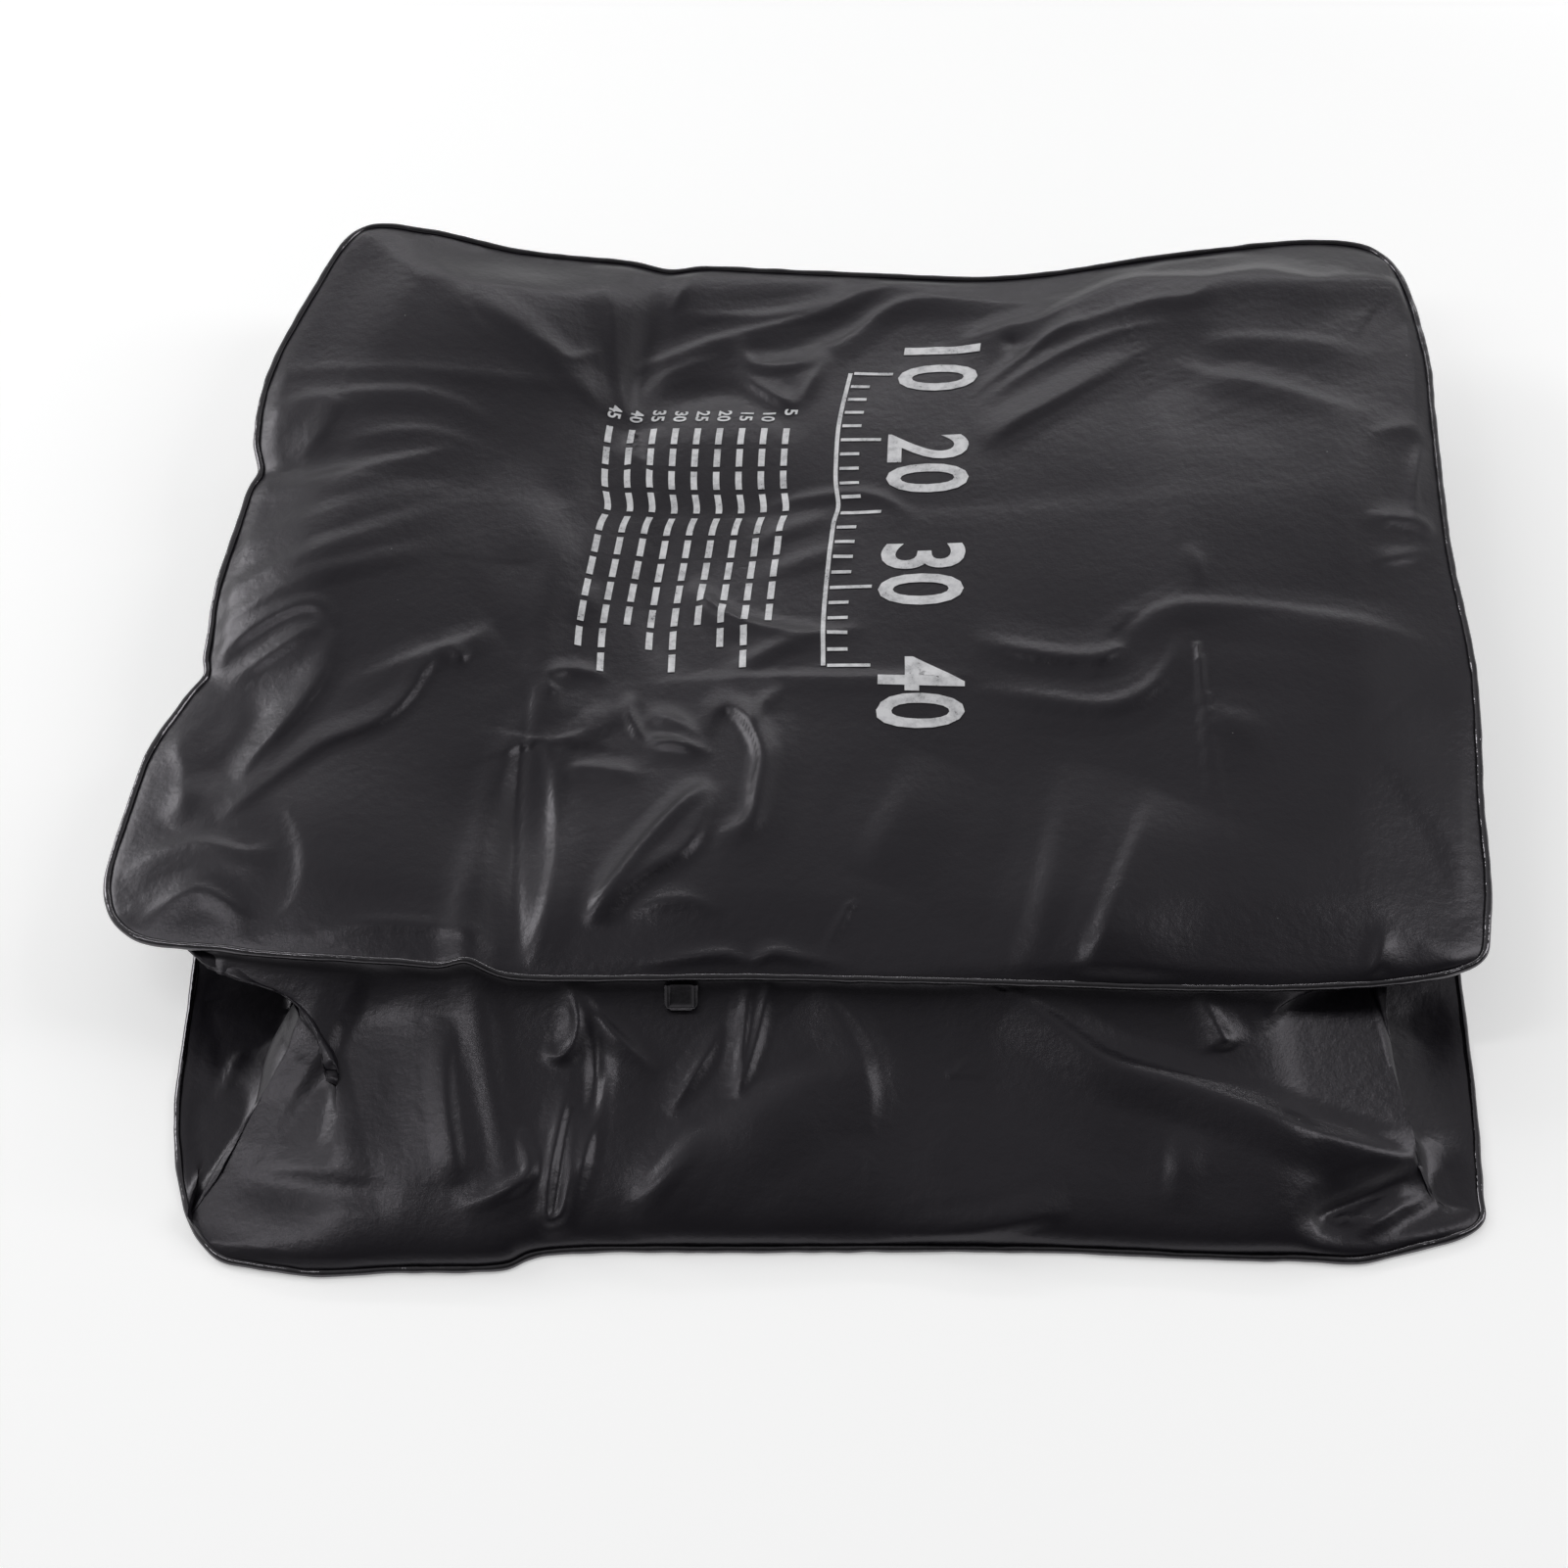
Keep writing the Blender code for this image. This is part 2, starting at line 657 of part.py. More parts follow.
def lever_bar(foot):
    """The tap's lever, a bar with rounded edges that lies across the outlet when the tap is shut."""
    work = bmesh.new()
    size = Matrix.Diagonal((LEVER_WIDTH, LEVER_LENGTH, LEVER_THICKNESS, 1))
    middle = Vector((0, LEVER_LENGTH / 2 - PLUG_RADIUS, foot + LEVER_THICKNESS / 2 - CLEARANCE))
    bmesh.ops.create_cube(work, size=1, matrix=Matrix.Translation(middle) @ size)
    bmesh.ops.bevel(work, geom=work.edges[:], offset=LEVER_ROUND, segments=LEVER_ROUND_STEPS, affect="EDGES")
    mesh = bpy.data.meshes.new("lever_bar")
    work.to_mesh(mesh)
    work.free()
    lever = bpy.data.objects.new("lever_bar", mesh)
    bpy.context.scene.collection.objects.link(lever)
    lever.display_type = "WIRE"
    lever.hide_render = True
    return lever


# The tabs


def plate(name, width, length, thickness, corner, finish):
    """A plate that hangs down from its own origin, with its two lower corners rounded."""
    half = width / 2
    outline = [(half, 0), (-half, 0)]
    for side, start in ((-1, math.pi), (1, math.pi * 3 / 2)):
        for step in range(CORNER_STEPS + 1):
            angle = start + math.pi / 2 * step / CORNER_STEPS
            middle_x = side * (half - corner)
            outline.append((middle_x + corner * math.cos(angle), corner - length + corner * math.sin(angle)))
    count = len(outline)
    points = [Vector((x, y, z)) for y in (0, thickness) for x, z in outline]
    faces = [tuple(range(count)), tuple(range(2 * count - 1, count - 1, -1))]
    faces += [(i, count + i, count + (i + 1) % count, (i + 1) % count) for i in range(count)]
    mesh = mesh_from(name, points, faces)
    face_outwards(mesh)
    return add_object(name, mesh, finish)


def hang_tab(name, place, film, metal):
    """A flap below a strip welded to the end wall, with its eyelet; its origin is on its hinge line."""
    turn = Matrix.Rotation(math.pi / 2, 4, "Z")
    proud = EYELET_RIM_THICKNESS + 2 * CLEARANCE
    depth = proud + TAB_THICKNESS
    fold = place + Vector((depth, 0, TAB_LENGTH / 2))
    flap = plate(f"{name}_flap", TAB_WIDTH, TAB_LENGTH, TAB_THICKNESS, TAB_CORNER, film)
    flap.matrix_world = Matrix.Translation(fold) @ turn
    centre = EYELET_EDGE - TAB_LENGTH
    barrel = EYELET_BORE_RADIUS + EYELET_BARREL_WALL
    across = Matrix.Translation((0, 0, centre)) @ Matrix.Rotation(-math.pi / 2, 4, "X")
    hole, ahead, behind = barrel + CLEARANCE, -OVERRUN, depth + OVERRUN
    profile = [(0, ahead), (hole, ahead), (hole, behind), (0, behind)]
    drill = turned(f"{name}_drill", profile, SMALL_SIDES, film, across)
    drill.parent = flap
    cut(flap, drill)
    low, high, rim = -CLEARANCE, TAB_THICKNESS + CLEARANCE, EYELET_RIM_RADIUS
    first, last = low - EYELET_RIM_THICKNESS, high + EYELET_RIM_THICKNESS
    ring = [(EYELET_BORE_RADIUS, first), (rim, first), (rim, low), (barrel, low)]
    ring += [(barrel, high), (rim, high), (rim, last), (EYELET_BORE_RADIUS, last)]
    eyelet = turned(f"{name}_eyelet", ring, SMALL_SIDES, metal, across)
    eyelet.matrix_world = flap.matrix_world

    strip = plate(f"{name}_weld", TAB_WIDTH, TAB_STRIP, depth, TAB_THICKNESS, film)
    top = Vector((depth, 0, TAB_LENGTH / 2 + CLEARANCE + TAB_STRIP))
    strip.matrix_world = Matrix.Translation(place + top) @ turn


def down_wall(section, start, length):
    """The place on a wall section, going down from its head, that lies a length away from the start."""
    for above, below in zip(section[::-1], section[-2::-1]):
        near, far = (above - start).length, (below - start).length
        if near < length <= far:
            return above.lerp(below, (length - near) / (far - near))
    return section[0]


def side_tab(film):
    """The pull tab that comes out from under the front of the upper seam; its tip lies on the front wall."""
    place, part = divmod(SIDE_TAB_SHARE * CORNERS[1], 1)
    place = int(place)
    root = UPPER_SEAM[place].lerp(UPPER_SEAM[place + 1], part)
    root -= Vector((0, SIDE_TAB_SET_OUT, SEAM_RADIUS + CLEARANCE))
    section = [p.lerp(q, part) for p, q in zip(WALL_SECTIONS[place], WALL_SECTIONS[place + 1])]
    tip = down_wall(section, root, SIDE_TAB_LENGTH)
    tip.x = root.x
    down = (tip - root).normalized()
    lift = Vector((0, down.z, -down.y)) * (FILM / 2 + SIDE_TAB_CLEARANCE + SIDE_TAB_THICKNESS)
    down = (tip + lift - root).normalized()
    out = Vector((0, down.z, -down.y))
    tab = plate("side_tab", SIDE_TAB_WIDTH, SIDE_TAB_LENGTH, SIDE_TAB_THICKNESS, SIDE_TAB_CORNER, film)
    axes = Matrix((Vector((1, 0, 0)), -out, -down)).transposed()
    tab.matrix_world = Matrix.Translation(root) @ axes.to_4x4()


def build():
    clear_scene()
    film = material("black_film", (0.026, 0.025, 0.027), 0.38)
    glossy = material("seam_gloss", (0.012, 0.012, 0.013), 0.16)
    plain = material("moulded_black", (0.030, 0.030, 0.032), 0.45)
    seal = material("gasket_rubber", (0.180, 0.175, 0.165), 0.70)
    metal = material("eyelet_nickel", (0.620, 0.610, 0.590), 0.28, 1.0)
    lever = material("tap_grey", (0.300, 0.300, 0.310), 0.42)

    upper_panel(film)
    lower_panel(film)
    walls = {}
    for name, first, last in WALL_LENGTHS:
        walls[name] = wall(name, first * SAMPLES_PER_STATION, last * SAMPLES_PER_STATION, film)
    a, b, c, d = CORNERS
    seam_bead("upper_seam", UPPER_SEAM, glossy)
    seam_bead("lower_seam", LOWER_SEAM, glossy)

    filler_at = end_place(FILLER_SHARE, b, c, HANGING_PLANE, 1)
    filler(filler_at, walls["hanging_end_wall"], plain, seal)
    for name, way in (("front_hang_tab", -1), ("rear_hang_tab", 1)):
        shift = way * TAB_SPACING / 2
        beside = WALL_SECTIONS[b : c + 1]
        section = min(beside, key=lambda s: abs(s[WALL_ROWS // 2].y - filler_at.y - shift))
        height = (section[FLAT_ROWS[0]].z + section[FLAT_ROWS[1]].z - TAB_STRIP) / 2
        hang_tab(name, Vector((filler_at.x, filler_at.y + shift, height)), film, metal)
    outlet_at = end_place(OUTLET_SHARE, d, a + SEAM_POINTS, OUTLET_PLANE, -1)
    outlet(outlet_at, walls["outlet_end_wall"], plain, lever)
    side_tab(glossy)


build()
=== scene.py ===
"""Looks of the camp shower bag, a black PVC water bag that lies empty and slumped on a white floor."""

import json
import math

import bmesh
import bpy
import numpy as np
from mathutils import Matrix, Vector, noise


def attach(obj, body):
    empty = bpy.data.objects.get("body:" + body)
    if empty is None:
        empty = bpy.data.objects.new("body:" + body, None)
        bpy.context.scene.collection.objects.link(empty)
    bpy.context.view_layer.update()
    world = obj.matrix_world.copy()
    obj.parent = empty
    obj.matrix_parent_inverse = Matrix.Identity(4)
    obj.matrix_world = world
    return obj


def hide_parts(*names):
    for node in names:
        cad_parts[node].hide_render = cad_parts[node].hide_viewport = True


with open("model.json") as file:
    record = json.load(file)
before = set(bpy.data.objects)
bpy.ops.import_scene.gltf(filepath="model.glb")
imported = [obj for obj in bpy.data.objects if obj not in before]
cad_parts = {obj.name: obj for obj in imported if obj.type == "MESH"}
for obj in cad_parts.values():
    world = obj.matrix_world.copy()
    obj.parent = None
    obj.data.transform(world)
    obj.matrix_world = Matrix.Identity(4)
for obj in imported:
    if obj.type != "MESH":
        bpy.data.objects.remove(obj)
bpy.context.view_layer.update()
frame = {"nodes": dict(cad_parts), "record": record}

# Camera
# It looks down on the front of the bag from 50 degrees above the floor, through a long lens.
# Folds that are placed by a pixel of the photograph are found through it.
EYE = np.array((-0.01598, -0.93435, 1.07865))
LOOK_DOWN = math.radians(50)
PHOTO_SIDE = 1601
FOCAL_PIXELS = 3000
SENSOR = 36
LOOK = np.array((0, math.cos(LOOK_DOWN), -math.sin(LOOK_DOWN)))
ABOVE = np.array((0, math.sin(LOOK_DOWN), math.cos(LOOK_DOWN)))

bpy.ops.object.camera_add(location=EYE, rotation=(math.pi / 2 - LOOK_DOWN, 0, 0))
camera = bpy.context.object
camera.data.lens = SENSOR * FOCAL_PIXELS / PHOTO_SIDE
camera.data.sensor_width = SENSOR
bpy.context.scene.camera = camera
bpy.context.scene.view_settings.view_transform = "Standard"


def photo_pixels(points):
    """The pixel of the photograph at which each point shows."""
    seen = points - EYE
    scale = FOCAL_PIXELS / (seen @ LOOK)
    middle = (PHOTO_SIDE - 1) / 2
    return np.stack((middle + scale * seen[..., 0], middle - scale * (seen @ ABOVE)), -1)


# Floor and light
# A white sweep in a white studio: soft boxes to the left, right and back, a dim ceiling that is lightest
# behind and to the left, and bright walls near the horizon. The floor shows white and keeps the shadow.
FLOOR_RADIUS, FLOOR_SIDES = 40, 64
FLOOR_WHITE = 0.90
FLOOR_GLOW = 0.36
FLOOR_WHITE_FROM = (0.6, 1.8)
CEILING_GREY = 0.27
CEILING_TO_BACK, CEILING_TO_LEFT = 0.95, 0.6
FRONT_GREY, HORIZON_WHITE = 0.28, 0.62
FRONT_TO_BACK = (-0.45, 0.45)
HORIZON_TO_CEILING = (math.sin(math.radians(14)), math.sin(math.radians(42)))
WHITE = (1, 1, 1, 1)
# The soft boxes: place, width and height, and watts. Each is turned towards the bag.
SOFT_BOXES = {
    "left_box": ((-1.70, 1.00, 0.95), (0.7, 0.9), 11),
    "right_box": ((1.5, 0.2, 1.3), (0.5, 1.3), 8),
    "back_box": ((0.1, 2.1, 1.15), (2.6, 0.06), 6),
    "top_box": ((-0.90, -0.15, 1.35), (0.06, 0.9), 3),
}


class Shade:
    """One output of a shader's nodes. Arithmetic on it adds Math nodes."""

    def __init__(self, nodes, socket):
        self.nodes, self.socket = nodes, socket

    def sum(self, operation, *others):
        return self.nodes.add("ShaderNodeMath", {"operation": operation}, *others)

    def __add__(self, other):
        return self.sum("ADD", self, other)

    def __sub__(self, other):
        return self.sum("SUBTRACT", self, other)

    def __rsub__(self, other):
        return self.sum("SUBTRACT", other, self)

    def __mul__(self, other):
        return self.sum("MULTIPLY", self, other)

    __radd__, __rmul__ = __add__, __mul__

    def clip(self, low, high):
        """Runs from 0 at low to 1 at high, and no further."""
        settings = {"interpolation_type": "SMOOTHSTEP"}
        return self.nodes.add("ShaderNodeMapRange", settings, self, low, high)


class Nodes:
    """The node tree of one material or world."""

    def __init__(self, owner):
        owner.use_nodes = True
        self.tree = owner.node_tree
        self.tree.nodes.clear()

    def fill(self, socket, value):
        """Gives a socket its value, or links it to another node's output."""
        if isinstance(value, Shade):
            self.tree.links.new(value.socket, socket)
        else:
            socket.default_value = value

    def add(self, kind, settings, *values, out=0, **named):
        """Adds a node: its settings, then the values or links of its sockets by place and by name."""
        node = self.tree.nodes.new(kind)
        for setting, value in settings.items():
            setattr(node, setting, value)
        for socket, value in zip(node.inputs, values):
            self.fill(socket, value)
        for name, value in named.items():
            self.fill(node.inputs[name.replace("_", " ")], value)
        return Shade(self, node.outputs[out]) if node.outputs else None

    def colour(self, mix, dark, light):
        """A colour that runs from the dark to the light one."""
        node = self.tree.nodes.new("ShaderNodeMix")
        node.data_type = "RGBA"
        self.fill(node.inputs[0], mix)
        for place, colour in ((6, dark), (7, light)):
            self.fill(node.inputs[place], colour if isinstance(colour, Shade) else (*colour, 1))
        return Shade(self, node.outputs[2])


def placed(name, data):
    """Adds a lamp, mesh, curve or text to the scene as one object."""
    piece = bpy.data.objects.new(name, data)
    bpy.context.collection.objects.link(piece)
    return piece


world = bpy.data.worlds.new("studio")
bpy.context.scene.world = world
sky = Nodes(world)
direction = sky.add("ShaderNodeTexCoord", {})
sideways, depth, height = (sky.add("ShaderNodeSeparateXYZ", {}, direction, out=k) for k in range(3))
watched = sky.add("ShaderNodeLightPath", {}, out="Is Camera Ray")
walls = FRONT_GREY + depth.clip(*FRONT_TO_BACK) * (HORIZON_WHITE - FRONT_GREY)
ceiling = CEILING_GREY * (1 + depth * CEILING_TO_BACK - sideways * CEILING_TO_LEFT)
low = 1 - height.clip(*HORIZON_TO_CEILING)
studio = ceiling + low * (walls - ceiling)
glow = sky.add("ShaderNodeBackground", {}, WHITE, studio * (1 - watched) + watched)
sky.add("ShaderNodeOutputWorld", {}, glow)

for name, (place, size, watts) in SOFT_BOXES.items():
    lamp = bpy.data.lights.new(name, "AREA")
    lamp.shape = "RECTANGLE"
    lamp.size, lamp.size_y = size
    lamp.energy = watts
    box = placed(name, lamp)
    box.location = place
    box.rotation_euler = (-Vector(place)).to_track_quat("-Z", "Y").to_euler()

bpy.ops.object.select_all(action="DESELECT")
bpy.ops.mesh.primitive_circle_add(vertices=FLOOR_SIDES, radius=FLOOR_RADIUS, fill_type="NGON")
floor = bpy.context.object
floor.name = "floor"
paper = bpy.data.materials.new("white_sweep")
sweep = Nodes(paper)
seen = sweep.add("ShaderNodeLightPath", {}, out="Is Camera Ray")
mirrored = sweep.add("ShaderNodeLightPath", {}, out="Is Glossy Ray")
through = sweep.add("ShaderNodeLightPath", {}, out="Is Transmission Ray")
matt = sweep.add("ShaderNodeBsdfDiffuse", {}, (FLOOR_WHITE, FLOOR_WHITE, FLOOR_WHITE, 1))
where = sweep.add("ShaderNodeTexCoord", {}, out="Object")
from_middle = sweep.add("ShaderNodeVectorMath", {"operation": "LENGTH"}, where, out="Value")
white = FLOOR_GLOW + from_middle.clip(*FLOOR_WHITE_FROM) * (1 - FLOOR_GLOW)
shine = sweep.add("ShaderNodeEmission", {}, WHITE, (seen + mirrored + through) * white)
sweep.add("ShaderNodeOutputMaterial", {}, sweep.add("ShaderNodeAddShader", {}, matt, shine))
floor.data.materials.append(paper)

# Upper face panel
# The bag's upper face, of PVC film with a semi-matte grain, cut with round corners and welded all round
# to the side strip. The bag has been folded flat for its packet, so creases and pulls stay in the film.
PANEL_LENGTH = 0.600
PANEL_WIDTH = 0.470
WALL_WIDTH = 0.142
FILM = 0.0006
# Stations round the two seams, from the front left corner on: shares of the panel's length and width, and
# for the upper seam its height as a share of the wall's width.
UPPER_SEAM_SHARES = (
    (-0.514, -0.333, 0.338), (-0.424, -0.370, 0.352), (-0.352, -0.381, 0.359), (-0.288, -0.386, 0.352),
    (-0.210, -0.396, 0.324), (-0.054, -0.395, 0.324), (0.116, -0.399, 0.317), (0.329, -0.406, 0.317),
    (0.466, -0.384, 0.310), (0.493, -0.326, 0.330), (0.503, -0.185, 0.366), (0.513, -0.036, 0.415),
    (0.512, 0.130, 0.430), (0.520, 0.304, 0.430), (0.526, 0.438, 0.430), (0.512, 0.580, 0.423),
    (0.455, 0.618, 0.423), (0.322, 0.595, 0.423), (0.172, 0.566, 0.394), (0.027, 0.578, 0.380),
    (-0.113, 0.589, 0.387), (-0.251, 0.594, 0.437), (-0.338, 0.608, 0.500), (-0.399, 0.602, 0.521),
    (-0.435, 0.500, 0.493), (-0.464, 0.368, 0.451), (-0.466, 0.223, 0.408), (-0.480, 0.089, 0.380),
    (-0.484, -0.028, 0.352), (-0.517, -0.150, 0.338),
)
LOWER_SEAM_SHARES = (
    (-0.435, -0.619), (-0.367, -0.651), (-0.292, -0.649), (-0.225, -0.647), (-0.182, -0.630),
    (-0.025, -0.628), (0.150, -0.628), (0.333, -0.636), (0.460, -0.609), (0.475, -0.526),
    (0.483, -0.355), (0.487, -0.206), (0.487, -0.057), (0.487, 0.102), (0.480, 0.251),
    (0.458, 0.326), (0.392, 0.351), (0.258, 0.353), (0.117, 0.353), (-0.025, 0.353),
    (-0.167, 0.353), (-0.300, 0.353), (-0.400, 0.349), (-0.455, 0.321), (-0.472, 0.240),
    (-0.475, 0.091), (-0.475, -0.057), (-0.473, -0.206), (-0.470, -0.355), (-0.465, -0.504),
)
LOWER_SEAM_HEIGHT = 0.0016
CORNER_STATIONS = (0, 8, 15, 23)
STATIONS = len(UPPER_SEAM_SHARES)
# Small waves in a seam: station, reach in stations, and shift in millimetres.
UPPER_WAVES = (
    (3.5, 0.22, (0, 3.0, 4.0)),
    (20.1, 0.16, (0, -3.5, -1.5)),
    (25.8, 0.14, (4.0, -2.0, -1.0)),
    (28.0, 0.14, (3.0, 0, 0)),
    (29.7, 0.30, (-3.0, 0, 0)),
)
LOWER_WAVES = ((0.3, 0.20, (0, -1.5, 0)), (7.3, 0.22, (0, -3.5, 0)), (8.5, 0.24, (-2.0, 0, 0)))
MILLIMETRE = 0.001


def between(a, b, c, d, t):
    """A smooth curve that runs from b to c as t does from 0 to 1, with a before them and d after them."""
    bend = (2 * a - 5 * b + 4 * c - d) * t**2 + (3 * b - a - 3 * c + d) * t**3
    return (2 * b + (c - a) * t + bend) / 2


def spline(table, station):
    """A smooth closed curve through the stations, read at any places along it."""
    first = np.floor(station).astype(int)
    around = (table[(first + k) % len(table)] for k in (-1, 0, 1, 2))
    return between(*around, (station - first)[..., None])


def station_gap(station, place):
    """How far a station lies from a place, the short way round."""
    return (station - place + STATIONS / 2) % STATIONS - STATIONS / 2


SIZE = np.array((PANEL_LENGTH, PANEL_WIDTH, WALL_WIDTH))
UPPER_STATIONS = np.array(UPPER_SEAM_SHARES) * SIZE
LOWER_STATIONS = np.array([(x, y, LOWER_SEAM_HEIGHT / WALL_WIDTH) for x, y in LOWER_SEAM_SHARES]) * SIZE
THIRDS = np.arange(3 * STATIONS) / 3
both = np.concatenate((spline(UPPER_STATIONS, THIRDS), spline(LOWER_STATIONS, THIRDS)))[:, :2]
middle = np.array((*(both.min(0) + both.max(0)) / 2, 0))
UPPER_STATIONS -= middle
LOWER_STATIONS -= middle


def seam(table, waves, station):
    """Places along a seam, with its small waves."""
    places = spline(table, station)
    for where, reach, shift in waves:
        share = np.exp(-((station_gap(station, where) / reach) ** 2))
        places = places + share[..., None] * np.array(shift) * MILLIMETRE
    return places


def upper_seam(station):
    return seam(UPPER_STATIONS, UPPER_WAVES, station)


def lower_seam(station):
    return seam(LOWER_STATIONS, LOWER_WAVES, station)


def inward(curve, station):
    """The level direction into the bag at places along a seam."""
    step = 0.05
    run = curve(station + step) - curve(station - step)
    way = np.stack((-run[..., 1], run[..., 0], 0 * run[..., 0]), -1)
    return way / np.linalg.norm(way, axis=-1, keepdims=True)


def run_along(places):
    """How far each place of a line lies from its first one, along the line."""
    return np.concatenate(((0,), np.cumsum(np.linalg.norm(np.diff(places, axis=0), axis=1))))


def even_stations(curve, first, last, count):
    """Stations that cut one stretch of a seam into steps of the same length."""
    fine = np.linspace(first, last, 1200)
    run = run_along(curve(fine))
    return np.interp(np.linspace(0, run[-1], count), run, fine)


def patch(curve, inset, columns, rows):
    """A film patch spanned between the four sides of a seam, as a grid of places, and its two shares."""
    front_left, front_right, back_right, back_left = CORNER_STATIONS

    def side(first, last, count):
        station = even_stations(curve, first, last, count + 1)
        return curve(station) + inward(curve, station) * inset

    front, right = side(front_left, front_right, columns), side(front_right, back_right, rows)
    back, left = side(back_right, back_left, columns)[::-1], side(back_left, STATIONS, rows)[::-1]
    u = np.linspace(0, 1, columns + 1)[None, :, None]
    v = np.linspace(0, 1, rows + 1)[:, None, None]
    sides = front[None] * (1 - v) + back[None] * v + left[:, None] * (1 - u) + right[:, None] * u
    corners = (front[0] * (1 - u) + front[-1] * u) * (1 - v) + (back[0] * (1 - u) + back[-1] * u) * v
    return (sides - corners, *np.broadcast_arrays(u[..., 0], v[..., 0]))


def grid_normals(grid):
    """The outward direction at each place of a grid whose columns run along and whose rows run up."""
    up, along = np.gradient(grid, axis=0), np.gradient(grid, axis=1)
    way = np.cross(along, up)
    return way / np.maximum(np.linalg.norm(way, axis=-1, keepdims=True), 1e-12)


def ease(share):
    """Runs from 0 to 1 as the share does, level at both ends and no further."""
    share = np.clip(share, 0, 1)
    return share * share * (3 - 2 * share)


# Each seed reads another part of the noise, this far away.
SEED_STEPS = (7.31, 3.17, 1.73)


def crumple(places, size, seed):
    """Uneven noise over the film, about -1 to 1, with features of the given size."""
    shift = Vector([seed * step for step in SEED_STEPS])
    read = np.array([noise.noise(Vector(place) + shift) for place in places.reshape(-1, 3) / size])
    return read.reshape(places.shape[:-1])


def film_waves(places, table):
    """Uneven waves in the film; the table gives the height, the size and the seed of each."""
    return sum(rise * crumple(places, size, seed) for rise, size, seed in table)


RUN_STEPS = 5
# A fold's crest stands on a soft skirt, this much wider, with this share of the fold's height.
SKIRT_REACH, SKIRT_SHARE = 2.3, 0.45
CREST_ROUNDING, CREST_POWER = 0.02, 1.4
# The folds are read through the camera where the lifted film shows, which takes a few rounds.
FOLD_ROUNDS, FOLD_APPROACH = 3, 0.7


def smooth_run(run):
    """A fold's run of (pixel, height) as a smooth line through its points."""
    run = np.array(run, float)
    whole = np.concatenate((run[:1] * 2 - run[1:2], run, run[-1:] * 2 - run[-2:-1]))
    t = np.arange(RUN_STEPS)[:, None] / RUN_STEPS
    parts = [between(*points, t) for points in zip(whole, whole[1:], whole[2:], whole[3:])]
    return np.concatenate((*parts, run[-1:]))


def fold_heights(pixels, folds):
    """The height in millimetres that a table of folds gives at some pixels of the photograph.

    A fold is its reach to its left and right in pixels, seen along its run, how sharp its crest is,
    and the pixels that it runs through, with its height at each.
    """
    flat = pixels.reshape(-1, 2)
    total = np.zeros(len(flat))
    for left, right, sharp, run in folds:
        run = smooth_run(run)
        left, right = left * SKIRT_REACH, right * SKIRT_REACH
        reach = max(left, right)
        low, high = run[:, :2].min(0) - reach, run[:, :2].max(0) + reach
        near = np.nonzero(((flat > low) & (flat < high)).all(1))[0]
        spots = flat[near]
        best = np.ones(len(near))
        lift = np.zeros(len(near))
        for start, end in zip(run, run[1:]):
            way = end[:2] - start[:2]
            off = spots - start[:2]
            part = np.clip(off @ way / (way @ way), 0, 1)
            gap = off - part[:, None] * way
            side = np.where(way[0] * off[:, 1] - way[1] * off[:, 0] < 0, left, right)
            share = np.hypot(gap[:, 0], gap[:, 1]) / side
            closer = share < best
            share = share[closer]
            across = (share * SKIRT_REACH) ** 2
            soft = (1 - share**2) ** 2
            narrow = np.maximum(1 - across, 0) ** 2
            steep = np.maximum(1 - np.sqrt(across + CREST_ROUNDING), 0) ** CREST_POWER
            crest = narrow * (1 - sharp) + steep * sharp
            height = start[2] + (end[2] - start[2]) * part[closer]
            lift[closer] = height * (soft * SKIRT_SHARE + crest * (1 - SKIRT_SHARE))
            best[closer] = share
        total[near] += lift
    return total.reshape(pixels.shape[:-1])


def press_folds(grid, folds, hold):
    """Lifts a grid of film along its normals by the folds, where hold runs to 0 at a welded rim."""
    away = grid_normals(grid)
    lift = np.zeros(grid.shape[:-1])
    for _ in range(FOLD_ROUNDS):
        seen = photo_pixels(grid + away * lift[..., None])
        lift += (fold_heights(seen, folds) * MILLIMETRE * hold - lift) * FOLD_APPROACH
    return grid + away * lift[..., None]


SHARP_RIM = math.radians(60)


def film_mesh(name, grid, thickness=FILM, coarse=1):
    """Film over a grid of places: its outer face, its inner face with fewer places, and its rim."""
    inner = grid[::coarse, ::coarse] - grid_normals(grid)[::coarse, ::coarse] * thickness
    if coarse > 1:
        deep = grid[..., 2]
        for axis in (0, 1):
            deep = np.min([np.roll(deep, k, axis) for k in range(-coarse, coarse + 1)], 0)
        inner[1:-1, 1:-1, 2] = deep[::coarse, ::coarse][1:-1, 1:-1] - thickness
    points = np.concatenate((grid.reshape(-1, 3), inner.reshape(-1, 3)))
    outer_at, inner_at = np.split(np.arange(len(points)), [grid[..., 0].size])
    outer_at, inner_at = outer_at.reshape(grid.shape[:2]), inner_at.reshape(inner.shape[:2])

    def cells(at, flip):
        quad = [at[:-1, :-1], at[:-1, 1:], at[1:, 1:], at[1:, :-1]]
        return np.stack(quad[::-1] if flip else quad, -1).reshape(-1, 4).tolist()

    faces = cells(outer_at, False) + cells(inner_at, True)
    rims = (
        (outer_at[0], inner_at[0]),
        (outer_at[:, -1], inner_at[:, -1]),
        (outer_at[-1, ::-1], inner_at[-1, ::-1]),
        (outer_at[::-1, 0], inner_at[::-1, 0]),
    )
    for long, short in rims:
        for k in range(len(short) - 1):
            outer_run = long[k * coarse : (k + 1) * coarse + 1][::-1].tolist()
            faces.append(outer_run + [int(short[k]), int(short[k + 1])])
    mesh = bpy.data.meshes.new(name)
    mesh.from_pydata(points.tolist(), [], faces)
    mesh.shade_smooth()
    mesh.set_sharp_from_angle(angle=SHARP_RIM)
    return placed(name, mesh)


